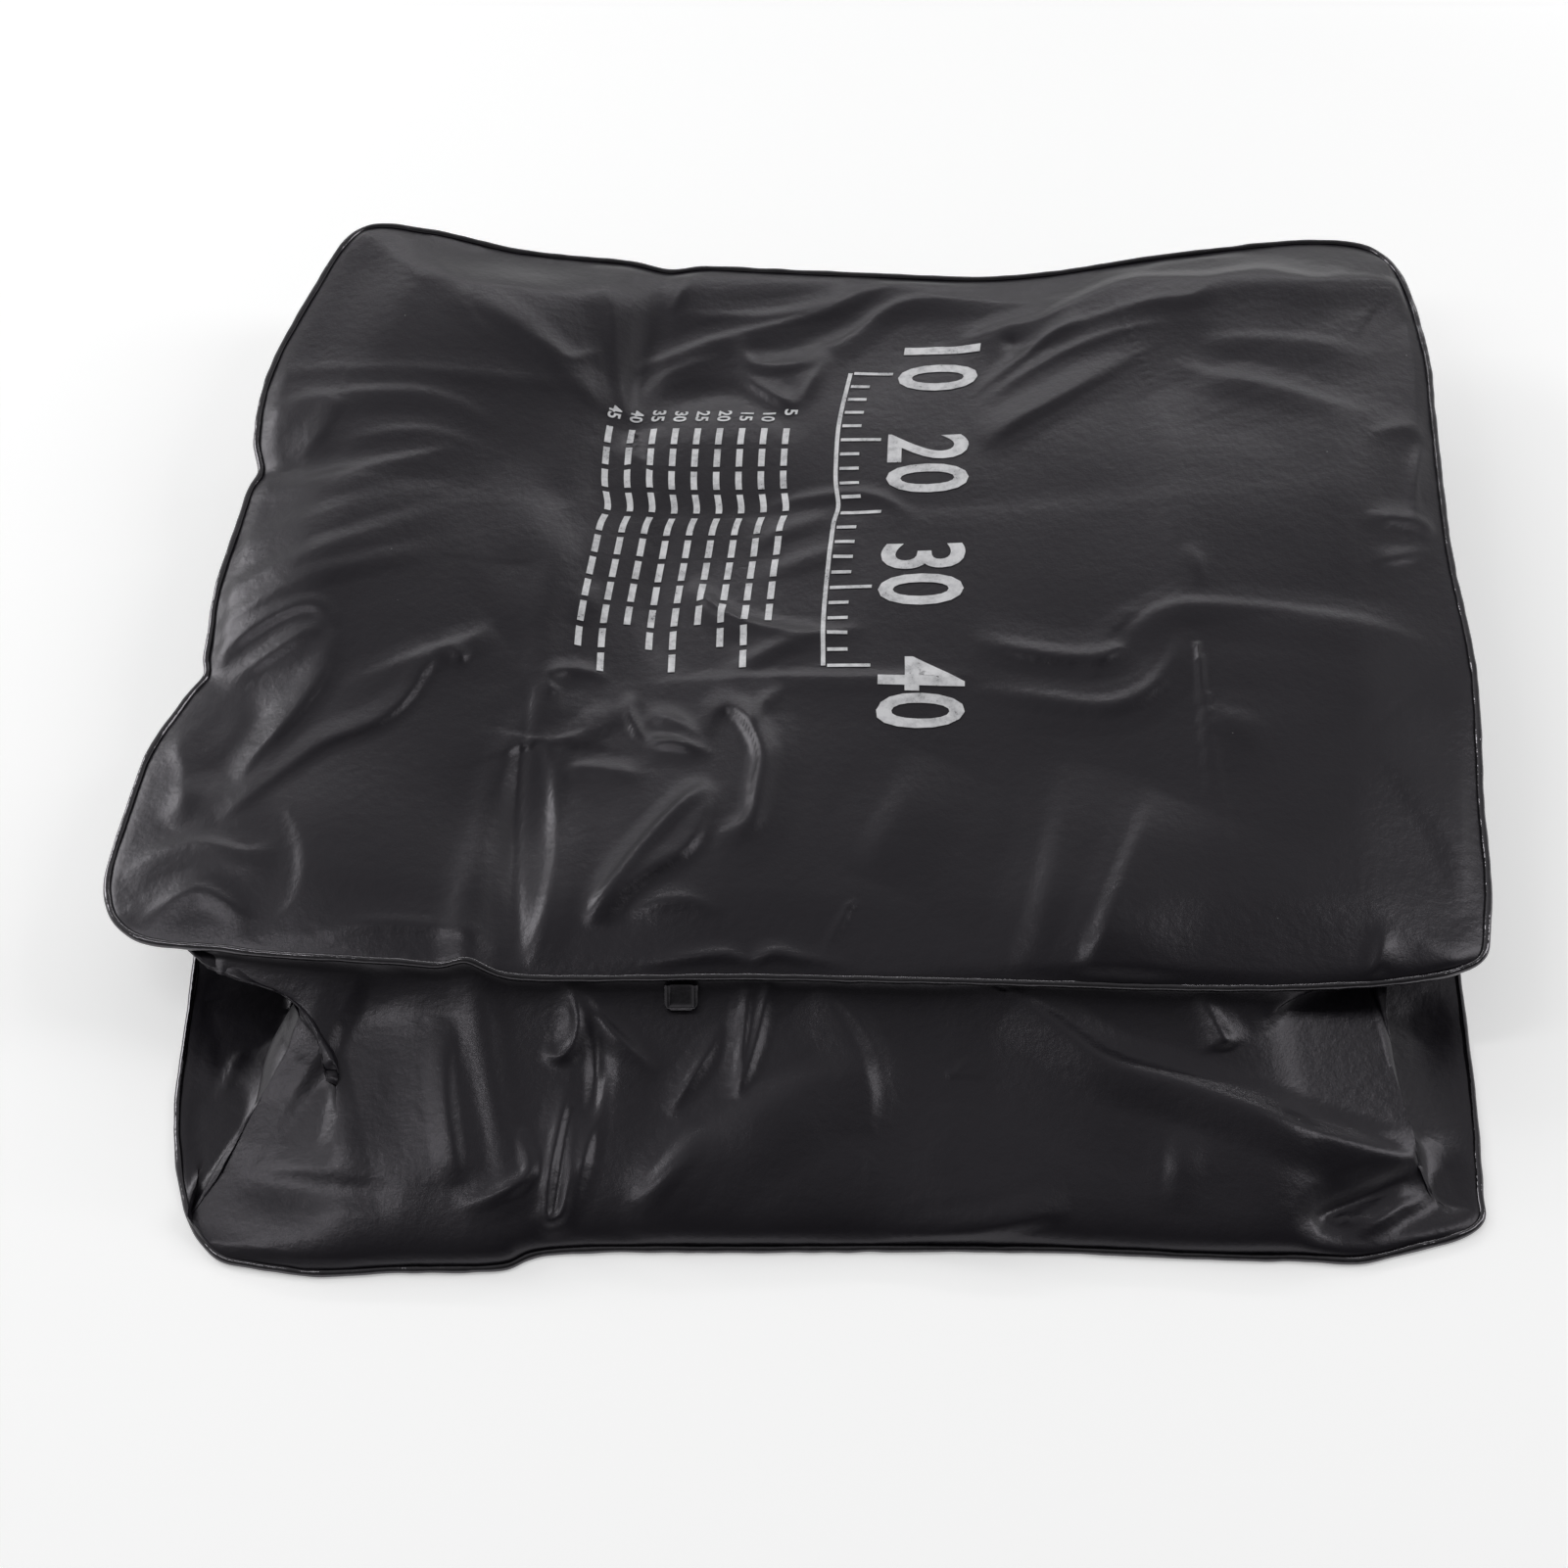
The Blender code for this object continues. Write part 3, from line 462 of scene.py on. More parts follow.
def dress(piece, material, body, slot, *nodes):
    """Gives a finished piece its material and its body, and hides the nodes that it stands for. The slot is
    not used.
    """
    piece.data.materials.clear()
    piece.data.materials.append(material)
    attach(piece, body)
    if nodes:
        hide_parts(*nodes)


class Finish(Nodes):
    """A material of the bag's pieces. Its patterns lie in the pieces' own frame."""

    def __init__(self, name):
        self.material = bpy.data.materials.new(name)
        super().__init__(self.material)
        self.where = self.add("ShaderNodeTexCoord", {}, out="Object")

    def noise(self, scale, detail, roughness=0.5):
        """Even noise. The scale is about how many of its features lie along a metre."""
        kind = "ShaderNodeTexNoise"
        return self.add(kind, {}, self.where, Scale=scale, Detail=detail, Roughness=roughness)

    def bump(self, height, distance, strength):
        return self.add("ShaderNodeBump", {}, Height=height, Distance=distance, Strength=strength)

    def surface(self, **sockets):
        """Ends the nodes in one surface with these sockets, and gives the material back."""
        self.add("ShaderNodeOutputMaterial", {}, self.add("ShaderNodeBsdfPrincipled", {}, **sockets))
        return self.material


FILM_DARK = (0.0074, 0.0064, 0.0092)
FILM_LIGHT = (0.0104, 0.0092, 0.0126)
FILM_TINT = (0.97, 0.93, 1.0, 1)
FILM_ROUGHNESS, FILM_UNEVEN = 0.33, 0.10
GRAIN_SHARE = 0.12
DUST_GREY = (0.22, 0.22, 0.22)
DUST_SPECKS, DUST_RADIUS = 34, (0.006, 0.012)

# Calendered PVC film: black with a fine leathery grain, a slightly uneven gloss and specks of dust.
finish = Finish("pvc_film")
cloud = finish.noise(scale=22, detail=3, roughness=0.55)
grain = finish.noise(scale=1500, detail=2, roughness=0.6)
crinkle = finish.noise(scale=190, detail=4, roughness=0.6)
specks = finish.add("ShaderNodeTexVoronoi", {}, finish.where, Scale=DUST_SPECKS)
black = finish.colour(cloud, FILM_DARK, FILM_LIGHT)
film = finish.surface(
    Base_Color=finish.colour(1 - specks.clip(*DUST_RADIUS), black, DUST_GREY),
    Roughness=FILM_ROUGHNESS - FILM_UNEVEN / 2 + cloud * FILM_UNEVEN,
    Specular_Tint=FILM_TINT,
    Normal=finish.bump(crinkle + grain * GRAIN_SHARE, distance=0.0012, strength=0.22),
)

PANEL_COLUMNS, PANEL_ROWS = 318, 252
PANEL_INSET = 0.0011
PANEL_HOLD_REACH = 0.012
# Broad swells: place as shares of the panel, reach as a share of its length, height in shares of the wall.
SWELL_SHARES = (
    (0.17, 0.86, 0.13, 0.085), (0.33, 0.83, 0.07, -0.050), (0.11, 0.50, 0.15, 0.065),
    (0.40, 0.55, 0.11, -0.040), (0.47, 0.91, 0.10, -0.030), (0.68, 0.52, 0.22, 0.055),
    (0.93, 0.58, 0.13, 0.050), (0.86, 0.90, 0.12, 0.055), (0.85, 0.20, 0.17, 0.055),
    (0.45, 0.18, 0.13, 0.050), (0.30, 0.18, 0.06, -0.040), (0.15, 0.16, 0.13, 0.035),
)
SWELL_RIM_SHARE = 0.10
RIM_ROLL, RIM_ROLL_REACH = 0.0030, 0.010
PANEL_WAVES = ((0.0016, 0.095, 1), (0.0003, 0.034, 2))
# How much of its table's height a fold has, from the left of the panel to its right and from front to back.
FOLD_SHARES = ((0, 0.80), (0.30, 0.85), (0.45, 1.10), (0.65, 1.0), (1, 0.90))
FOLD_DEPTH_SHARES = ((0, 1.3), (0.4, 1.2), (0.6, 1.0), (1, 0.85))
# The folds of the panel: reach left, reach right, sharpness, and (pixel, height) along the run.
PANEL_FOLDS = (
    # rear left hump
    (16, 30, 0.3, ((400, 245, 0), (440, 265, 2), (468, 298, 2))),
    (26, 16, 0.5, ((470, 300, 0), (510, 318, 3.5), (545, 345, 4), (575, 375, 3.5), (605, 403, 2.5),
                   (645, 430, 0))),
    (8, 8, 0.5, ((535, 335, 0), (560, 350, 1.2), (580, 364, 1.5), (600, 362, 1.2), (616, 358, 0))),
    (12, 70, 0.5, ((648, 440, 0), (640, 415, 3.5), (632, 385, 4.5), (628, 350, 5), (624, 310, 4.5),
                   (613, 268, 1))),
    (26, 22, 0.2, ((672, 270, 0), (664, 330, -4.5), (656, 385, -6.5), (650, 430, -4), (640, 465, 0))),
    (16, 22, 0.3, ((480, 270, 0), (520, 262, 1.2), (560, 265, 0))),
    # soft pulls across the left of the panel
    (10, 14, 0.3, ((240, 386, 0), (330, 377, 1.2), (430, 377, 1.2), (530, 386, 1), (610, 394, 0))),
    (10, 26, 0.5, ((262, 433, 0), (300, 411, 2.2), (350, 402, 2.6), (420, 400, 2.4), (470, 413, 1.6),
                   (505, 436, 0))),
    (22, 12, 0.4, ((300, 470, 0), (325, 442, 2.2), (342, 412, 1.5), (346, 402, 0))),
    (10, 24, 0.4, ((340, 452, 0), (400, 441, 1.8), (450, 443, 1.5), (500, 462, 0))),
    (9, 30, 0.5, ((270, 508, 0), (330, 487, 2.6), (380, 475, 2.8), (430, 465, 2.2), (470, 457, 0))),
    (16, 26, 0.3, ((236, 578, 0), (262, 552, 2.4), (320, 528, 2.4), (400, 505, 1.2), (470, 490, 0))),
    (14, 22, 0.4, ((222, 624, 0), (255, 592, 2.8), (320, 560, 2.8), (400, 535, 1.8), (480, 510, 0))),
    (14, 18, 0.4, ((213, 654, 0), (250, 622, 2.6), (300, 592, 2.8), (380, 570, 1.6), (450, 560, 0))),
    (14, 12, 0.4, ((208, 688, 0), (245, 650, 2.8), (290, 622, 3), (322, 616, 2.2), (338, 640, 1),
                   (330, 672, 0))),
    (12, 12, 0.4, ((225, 704, 0), (270, 670, 2.4), (310, 645, 2.4), (334, 640, 0))),
    (24, 10, 0.5, ((238, 800, 0), (262, 767, 3.2), (300, 727, 3.8), (325, 692, 3.2), (336, 662, 1.5),
                   (338, 640, 0))),
    (40, 50, 0.2, ((505, 480, 0), (545, 540, 3), (560, 580, 3), (530, 620, 2), (505, 640, 0))),
    (9, 24, 0.5, ((335, 706, 0), (400, 680, 1.8), (440, 665, 2.6), (480, 652, 2.4), (506, 636, 0))),
    (7, 22, 0.6, ((445, 662, 0), (428, 690, 2.4), (408, 718, 2.8), (380, 738, 2.8), (330, 758, 2.6),
                  (290, 785, 2), (250, 815, 1.4), (222, 836, 0))),
    (8, 8, 0.4, ((450, 650, 0), (470, 668, 1.6), (478, 672, 0))),
    # front left flap
    (26, 26, 0.3, ((258, 700, 0), (262, 740, -2.5), (240, 778, -2.5), (180, 800, 0))),
    (14, 20, 0.3, ((168, 842, 0), (186, 815, 2.2), (190, 790, 1.6), (184, 760, 1.6), (205, 735, 0))),
    (9, 30, 0.3, ((125, 898, 0), (165, 868, 1.8), (210, 861, 2.4), (250, 870, 1.8), (290, 862, 0))),
    (14, 110, 0.2, ((262, 960, 0), (300, 925, 1.6), (312, 880, 2), (304, 840, 1.6), (280, 800, 0))),
    (10, 22, 0.5, ((138, 948, 0), (180, 915, 2.4), (205, 908, 2.6), (230, 920, 2.4), (258, 942, 0))),
    (12, 14, 0.4, ((320, 952, 0), (370, 942, 1.4), (430, 944, 1.4), (480, 950, 1), (520, 975, 0))),
    # packing crease and its shoulders
    (8, 16, 0.7, ((541, 684, 0), (537, 730, -2.2), (530, 790, -3), (526, 860, -2.6), (527, 930, -2),
                  (531, 990, 0))),
    (14, 9, 0.5, ((580, 735, 0), (575, 760, 1.6), (568, 790, 2), (567, 840, 2.2), (564, 885, 2),
                  (552, 940, 1.6), (535, 990, 0))),
    (30, 26, 0.3, ((600, 790, 0), (586, 850, 2.2), (580, 900, 2.2), (560, 950, 1.8), (538, 992, 0))),
    (6, 10, 0.6, ((556, 700, 0), (562, 686, 1.6), (580, 682, 2), (602, 685, 2), (622, 694, 0))),
    (7, 7, 0.5, ((556, 690, 0), (562, 702, 1.6), (574, 706, 0))),
    (7, 46, 0.5, ((545, 760, 0), (560, 756, 1.6), (574, 758, 0))),
    # knot and triangle below the crease's corner
    (6, 6, 0.6, ((648, 708, 0), (640, 722, 2), (648, 742, 2.4), (656, 757, 1))),
    (5, 12, 0.6, ((655, 757, 0), (672, 756, 2.6), (695, 758, 2.8), (728, 770, 0))),
    (8, 18, 0.6, ((656, 726, 0), (680, 732, 2.4), (705, 746, 2), (722, 764, 0))),
    (20, 22, 0.3, ((590, 770, 0), (600, 742, 2.2), (622, 732, 1.6), (632, 745, 0))),
    (8, 18, 0.4, ((572, 792, 0), (592, 783, 2), (625, 785, 2), (660, 792, 0))),
    (22, 8, 0.5, ((722, 752, 0), (730, 727, 2), (746, 721, 2.6), (764, 736, 3.6), (777, 765, 4.2),
                  (773, 800, 4), (765, 833, 2.8), (742, 850, 1.2), (725, 852, 0))),
    (14, 9, 0.6, ((728, 797, 0), (700, 815, 2.8), (670, 845, 3.2), (640, 880, 3.4), (610, 920, 2.4),
                  (600, 948, 0))),
    (9, 22, 0.6, ((730, 800, 0), (712, 845, 2.4), (695, 868, 2.8), (660, 890, 2.8), (630, 915, 2.2),
                  (612, 945, 0))),
    (8, 16, 0.4, ((640, 932, 0), (670, 920, 1.4), (700, 917, 1.4), (740, 930, 0))),
    (12, 8, 0.4, ((764, 745, 0), (780, 718, 1.8), (802, 700, 0))),
    (28, 70, 0.3, ((884, 896, 0), (902, 860, 2.2), (925, 820, 2.4), (948, 770, 0))),
    (7, 12, 0.5, ((650, 988, 0), (700, 977, 1.2), (740, 973, 1.6), (765, 980, 0.8), (790, 971, 1.8),
                  (825, 978, 1), (880, 986, 0))),
    # thin horizontal crease
    (5, 22, 0.6, ((660, 700, 0), (720, 693, 1), (800, 690, 1.2), (900, 690, 1.2), (1000, 688, 0))),
    # rear middle
    (8, 7, 0.6, ((684, 320, 0), (698, 296, 2.6), (712, 276, 0))),
    (8, 18, 0.6, ((680, 321, 0), (750, 323, 2.2), (800, 319, 2.6), (850, 309, 2.6), (885, 297, 2.4),
                  (930, 289, 1.8), (1000, 284, 0))),
    (8, 22, 0.6, ((640, 381, 0), (680, 366, 3), (720, 351, 3.2), (760, 340, 3), (800, 331, 2.4),
                  (845, 318, 1.6), (880, 302, 0))),
    (8, 24, 0.6, ((812, 364, 0), (856, 351, 2.6), (880, 336, 3.2), (900, 319, 3.4), (922, 308, 3),
                  (955, 304, 2.8), (1005, 307, 2.4), (1060, 309, 2), (1098, 304, 0))),
    (9, 20, 0.5, ((655, 412, 0), (672, 390, 2), (702, 375, 2.4), (745, 364, 0))),
    (7, 12, 0.6, ((756, 342, 0), (760, 364, 2.2), (780, 373, 2.4), (815, 370, 2.2), (848, 360, 0))),
    (8, 10, 0.6, ((752, 376, 0), (775, 394, 2.2), (798, 407, 2.4), (814, 416, 0))),
    (8, 8, 0.6, ((814, 416, 0), (830, 387, 2.2), (848, 361, 0))),
    (20, 20, 0.2, ((665, 415, 0), (700, 407, -2.2), (745, 403, -2.6), (785, 417, -2.2), (825, 443, 0))),
    # small pulls in the middle
    (5, 12, 0.6, ((765, 522, 0), (820, 508, 1.2), (870, 502, 1.4), (902, 508, 1.6), (935, 527, 0))),
    (7, 12, 0.7, ((706, 592, 0), (722, 611, 2.6), (745, 628, 2.8), (775, 638, 2.2), (830, 645, 1.4),
                  (890, 640, 0))),
    (12, 16, 0.3, ((756, 562, 0), (800, 542, 1.6), (868, 520, 0))),
    (12, 16, 0.3, ((768, 592, 0), (820, 571, 1.6), (880, 553, 0))),
    (12, 16, 0.4, ((735, 692, 0), (770, 671, 1.8), (803, 656, 1.6), (838, 649, 0))),
    (24, 24, 0.2, ((690, 480, 0), (672, 560, -2), (668, 640, -2.4), (690, 690, 0))),
    (14, 20, 0.3, ((590, 640, 0), (598, 612, 1.8), (616, 600, 0))),
    # rear right crest and the streaks that run from it
    (8, 34, 0.6, ((975, 350, 0), (1010, 338, 2.6), (1042, 330, 3.4), (1062, 325, 4),
                  (1090, 310, 4.6), (1120, 296, 5), (1152, 285, 5.2), (1190, 283, 5),
                  (1232, 282, 4.6), (1260, 278, 4.4), (1292, 275, 4.4), (1340, 284, 4.2),
                  (1372, 283, 4), (1410, 285, 3.6), (1428, 297, 2.6), (1442, 326, 0))),
    (8, 16, 0.4, ((1150, 286, 0), (1182, 269, 1.6), (1205, 262, 1.6), (1250, 262, 1.8),
                  (1290, 252, 0))),
    (8, 18, 0.5, ((1060, 345, 0), (1105, 329, 1.8), (1170, 308, 2.2), (1216, 302, 2), (1246, 286, 0))),
    (6, 8, 0.6, ((992, 403, 0), (1040, 366, 1.8), (1082, 335, 1.6), (1110, 322, 0))),
    (6, 9, 0.6, ((1000, 412, 0), (1060, 372, 1.8), (1100, 352, 1.6), (1150, 335, 1), (1196, 328, 0))),
    (24, 12, 0.5, ((1000, 455, 0), (1035, 430, 3.4), (1075, 408, 3.6), (1110, 388, 2.8),
                   (1150, 366, 1.6), (1196, 338, 0))),
    (10, 8, 0.4, ((1018, 352, 0), (1034, 350, -2.4), (1046, 362, 0))),
    (12, 26, 0.4, ((1222, 352, 0), (1258, 347, 1.8), (1300, 347, 2), (1355, 352, 1.6), (1410, 368, 0))),
    (9, 26, 0.5, ((1192, 370, 0), (1240, 383, 2.2), (1282, 390, 2.4), (1325, 401, 2), (1375, 417, 1),
                  (1420, 424, 0))),
    # right shoulder
    (34, 150, 0.2, ((1222, 640, 0), (1214, 590, 2.6), (1208, 520, 3.6), (1200, 450, 3),
                    (1180, 400, 0))),
    (10, 12, 0.4, ((1206, 556, 0), (1222, 574, 1.4), (1224, 600, 0))),
    (12, 40, 0.4, ((1148, 655, 0), (1168, 634, 2), (1192, 621, 2.6), (1230, 618, 2.6),
                   (1290, 622, 2.2), (1350, 630, 2), (1410, 642, 1.4), (1465, 664, 0))),
    (14, 12, 0.4, ((990, 652, 0), (1045, 664, 2.4), (1090, 670, 2.4), (1130, 668, 2.2),
                   (1160, 655, 0))),
    (12, 16, 0.5, ((985, 702, 0), (1060, 712, 1.6), (1118, 719, 2.2), (1150, 714, 2.4),
                   (1176, 699, 2.2), (1194, 676, 1.4), (1212, 640, 0))),
    (16, 26, 0.3, ((1222, 726, 0), (1258, 735, 1.6), (1304, 750, 0))),
    # right rim
    (8, 14, 0.4, ((1392, 446, 0), (1420, 436, 1.6), (1440, 436, 1.6), (1452, 448, 0))),
    (8, 6, 0.5, ((1450, 452, 0), (1445, 480, 1.8), (1443, 510, 1.8), (1448, 530, 0))),
    (9, 14, 0.4, ((1386, 528, 0), (1424, 527, 2.2), (1452, 534, 2.2), (1466, 552, 0))),
    (12, 10, 0.4, ((1396, 572, 0), (1430, 568, 1.6), (1468, 560, 0))),
    (60, 30, 0.2, ((1400, 745, 0), (1450, 805, 2.4), (1488, 862, 2.4), (1508, 930, 0))),
    # front right streaks
    (26, 90, 0.2, ((1044, 1000, 0), (1068, 930, 3.4), (1084, 860, 3.2), (1100, 780, 0))),
    (20, 100, 0.3, ((1106, 1004, 0), (1128, 950, 4.4), (1148, 900, 4.2), (1168, 850, 3),
                    (1184, 808, 0))),
    (10, 14, 0.3, ((1396, 1006, 0), (1410, 972, 1.8), (1410, 940, 0))),
)

grid, across, along = patch(upper_seam, PANEL_INSET, PANEL_COLUMNS, PANEL_ROWS)
from_end, from_side = np.minimum(across, 1 - across), np.minimum(along, 1 - along)
from_rim = np.minimum(from_end * PANEL_LENGTH, from_side * PANEL_WIDTH)
hold = ease(from_rim / PANEL_HOLD_REACH)
fade = ease(np.minimum(from_end, from_side) / SWELL_RIM_SHARE)
lift = RIM_ROLL * (1 - np.exp(-from_rim / RIM_ROLL_REACH)) + hold * film_waves(grid, PANEL_WAVES)
for x, y, reach, rise in SWELL_SHARES:
    away = np.hypot(across - x, (along - y) * PANEL_WIDTH / PANEL_LENGTH) / reach
    lift += rise * WALL_WIDTH * np.exp(-(away**2)) * fade
grid = grid + lift[..., None] * np.array((0, 0, 1))
strength = np.interp(across, *np.transpose(FOLD_SHARES)) * np.interp(along, *np.transpose(FOLD_DEPTH_SHARES))
upper_grid = press_folds(grid, PANEL_FOLDS, hold * strength)
upper_normals = grid_normals(upper_grid)
dress(film_mesh("upper_face", upper_grid, coarse=3), film, "bag", "black_film", "upper_panel")

# Print on the upper face
# White ink, screen printed on the film before it was cut. It creases with the film and has flaked a little.
# It is a plain scale: a row of numbers, a row of graduations, and a block of short numbered lines.
INK = 0.00012
INK_LIFT = 0.00034
NUMBERS = ("10", "20", "30", "40")
NUMBERS_START, NUMBERS_PITCH = (0.321, 0.418), 0.0775
NUMBER_SIZE, NUMBER_WEIGHT, NUMBER_SQUEEZE = 0.0555, 0.0009, 0.80
SCALE_START = (0.2935, 0.388)
SCALE_STEP, SCALE_TICKS, SCALE_EVERY = 0.0104, 20, 5
SCALE_TALL, SCALE_SHORT, SCALE_LINE = 0.0230, 0.0125, 0.0021
SCALE_GAP = 1.4 * SCALE_LINE
BLOCK_START, BLOCK_PITCH, BLOCK_LINES = (0.2660, 0.360), 0.0112, 9
BLOCK_SIZE, BLOCK_WEIGHT = 0.0090, 0.0002
# The dashes of a line: how far they stand in and up from its number, their length, gap and width.
DASH_INDENT, DASH_BASE, DASH, DASH_GAP, DASH_WIDTH = 0.0145, 0.0008, 0.0120, 0.0034, 0.0032
DASH_COUNTS = (9, 11, 10)
INK_WHITE, INK_WORN = (0.80, 0.80, 0.82), (0.46, 0.46, 0.48)
INK_WEAR, INK_FLAKES, INK_FLECK_SHARE = (0.35, 0.75), (0.60, 0.66), 0.6
INK_ROUGHNESS, INK_UNEVEN = 0.42, 0.12
DOUBLES = 1e-6


def select_only(piece):
    """Selects one piece, for the operators that act on what is selected."""
    bpy.ops.object.select_all(action="DESELECT")
    piece.select_set(True)
    bpy.context.view_layer.objects.active = piece


def drawn_mesh(drawn):
    """Turns a text or a flat curve into a mesh, and gives it as a bmesh."""
    select_only(drawn)
    bpy.ops.object.convert(target="MESH")
    work = bmesh.new()
    work.from_mesh(drawn.data)
    return work


def cut_into_cells(work, cells, shift=0):
    """Cuts a bmesh along X and along Y into cells of these two lengths."""
    for axis, cell in enumerate(cells):
        way = [0, 0, 0]
        way[axis] = 1
        along = [vert.co[axis] for vert in work.verts]
        for line in range(math.ceil(min(along) / cell), math.ceil(max(along) / cell)):
            parts = work.verts[:] + work.edges[:] + work.faces[:]
            at = [(line + shift) * cell * w for w in way]
            bmesh.ops.bisect_plane(work, geom=parts, dist=1e-7, plane_co=at, plane_no=way)


def ink_text(words, size, weight):
    """Plain numbers as a bmesh of thin ink, read along X from its origin."""
    letters = bpy.data.curves.new("numbers", "FONT")
    letters.body = words
    letters.size = size
    letters.offset = weight
    letters.extrude = INK / 2
    letters.resolution_u = 4
    made = placed("numbers", letters)
    work = drawn_mesh(made)
    bpy.data.objects.remove(made)
    return work


def ink_bars(bars):
    """Thin bars of ink as a bmesh; each bar is its low and high place along X and along Y."""
    work = bmesh.new()
    for left, right, low, high in bars:
        size = Matrix.Diagonal((right - left, high - low, INK, 1))
        middle = Matrix.Translation(((left + right) / 2, (low + high) / 2, 0))
        bmesh.ops.create_cube(work, size=1, matrix=middle @ size)
    return work


def ink_on_film(work, start):
    """Turns ink to read towards the front, cuts it along the film's grid and lays it on the film."""
    bmesh.ops.remove_doubles(work, verts=work.verts[:], dist=DOUBLES)
    for vert in work.verts:
        x, y, z = vert.co
        vert.co = (start[0] + y, start[1] - x, z)
    cells = np.array((PANEL_LENGTH / PANEL_COLUMNS, PANEL_WIDTH / PANEL_ROWS))
    cut_into_cells(work, cells)
    places = np.array([vert.co for vert in work.verts])
    column, row = (places[:, :2] / cells).T
    left, low = np.floor(column + DOUBLES).astype(int), np.floor(row + DOUBLES).astype(int)
    s, t = (column - left)[:, None], (row - low)[:, None]

    def read(table):
        near = table[low, left] * (1 - s) + table[low, left + 1] * s
        return near * (1 - t) + (table[low + 1, left] * (1 - s) + table[low + 1, left + 1] * s) * t

    laid = read(upper_grid) + read(upper_normals) * (INK_LIFT + places[:, 2:])
    for vert, place in zip(work.verts, laid):
        vert.co = place
    bmesh.ops.recalc_face_normals(work, faces=work.faces[:])
    return work


def ink_piece(name, works):
    """One printed piece made of several bmeshes of ink."""
    mesh = bpy.data.meshes.new(name)
    whole = bmesh.new()
    for work in works:
        work.to_mesh(mesh)
        work.free()
        whole.from_mesh(mesh)
    whole.to_mesh(mesh)
    whole.free()
    mesh.materials.append(ink)
    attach(placed(name, mesh), "bag")


finish = Finish("white_ink")
patches = finish.noise(scale=120, detail=4, roughness=0.7)
flecks = finish.noise(scale=900, detail=3, roughness=0.7)
flaked = (flecks * INK_FLECK_SHARE + patches * (1 - INK_FLECK_SHARE)).clip(*INK_FLAKES)
white = finish.colour(patches.clip(*INK_WEAR), INK_WHITE, INK_WORN)
ink = finish.surface(
    Base_Color=finish.colour(flaked, white, FILM_LIGHT),
    Roughness=INK_ROUGHNESS + patches * INK_UNEVEN,
    Normal=finish.bump(flecks, distance=0.0002, strength=0.2),
)

numbers = []
for k, words in enumerate(NUMBERS):
    work = ink_text(words, NUMBER_SIZE, NUMBER_WEIGHT)
    for vert in work.verts:
        vert.co.x *= NUMBER_SQUEEZE
    numbers.append(ink_on_film(work, (NUMBERS_START[0], NUMBERS_START[1] - k * NUMBERS_PITCH)))
ink_piece("printed_numbers", numbers)

bars = [(0, SCALE_STEP * SCALE_TICKS, 0, SCALE_LINE)]
for k in range(SCALE_TICKS + 1):
    tall = SCALE_SHORT if k % SCALE_EVERY else SCALE_TALL
    bars.append((k * SCALE_STEP - SCALE_LINE / 2, k * SCALE_STEP + SCALE_LINE / 2, SCALE_GAP, tall))
ink_piece("printed_scale", [ink_on_film(ink_bars(bars), SCALE_START)])

lines = []
for k in range(BLOCK_LINES):
    start = (BLOCK_START[0] - k * BLOCK_PITCH, BLOCK_START[1])
    lines.append(ink_on_film(ink_text(str(5 * (k + 1)), BLOCK_SIZE, BLOCK_WEIGHT), start))
    dashes = []
    for n in range(DASH_COUNTS[k % len(DASH_COUNTS)]):
        first = DASH_INDENT + n * (DASH + DASH_GAP)
        dashes.append((first, first + DASH, DASH_BASE, DASH_BASE + DASH_WIDTH))
    lines.append(ink_on_film(ink_bars(dashes), start))
ink_piece("printed_lines", lines)

# Lower face panel
# The same film and cut as the upper face. It lies flat on the floor under the rest of the bag.
LOWER_COLUMNS, LOWER_ROWS = 200, 156
LOWER_LIFT, LOWER_WAVE, LOWER_NOISE = 0.0002, 0.0003, (0.03, 5)
grid = patch(lower_seam, PANEL_INSET, LOWER_COLUMNS, LOWER_ROWS)[0]
grid[..., 2] = FILM + LOWER_LIFT + LOWER_WAVE * (1 + crumple(grid, *LOWER_NOISE))
dress(film_mesh("lower_face", grid, thickness=FILM / 2), film, "bag", "black_film", "lower_panel")

# Side strip
# One strip of the film runs round the bag between the two faces, and is welded to both. In front it
# slopes down over the floor, and at both ends it is tucked in between the faces, as a carton folds.
HEAD_INSET, FOOT_INSET = 0.0025, 0.0010
FOOT_HEIGHT, HEAD_DROP = 0.0022, 0.0009
WALL_RISE = 0.16 * WALL_WIDTH
# The tucked ends: first and last station, and the plane that the middle of the end stands in.
TUCKS = ((8, 15, 0.2512), (23, 30, -0.2428))
TUCK_RISE = 0.035 * WALL_WIDTH
TUCK_REACH = 2.2
TUCK_SPREAD = 1.2
FLAT_AMOUNT = 0.55
TAUT_REACH, TAUT_SHARE = 0.22, 0.5
# The two front corners of the strip, from the lower seam up to the upper one, in millimetres.
OUTLET_CORNER = (
    (-262, -283, 1.6), (-272, -275, 7), (-253, -240, 18), (-232, -203, 27), (-228, -188, 33),
    (-241, -172, 38), (-255, -152, 42), (-290, -145, 45), (-306, -148, 46.5),
)
HANGING_CORNER = (
    (275, -276, 1.6), (266, -270, 6), (257, -250, 14), (247, -203, 24), (241, -166, 32),
    (243, -158, 37), (258, -160, 41), (270, -165, 42.5), (278, -169, 43.2),
)


# Each corner's station, its guide, how many stations it reaches before and after, and where its pull ends.
CORNERS = ((0, OUTLET_CORNER, 1.3, 1.9, 0.84), (8, HANGING_CORNER, 1.2, 1.2, 0.95))


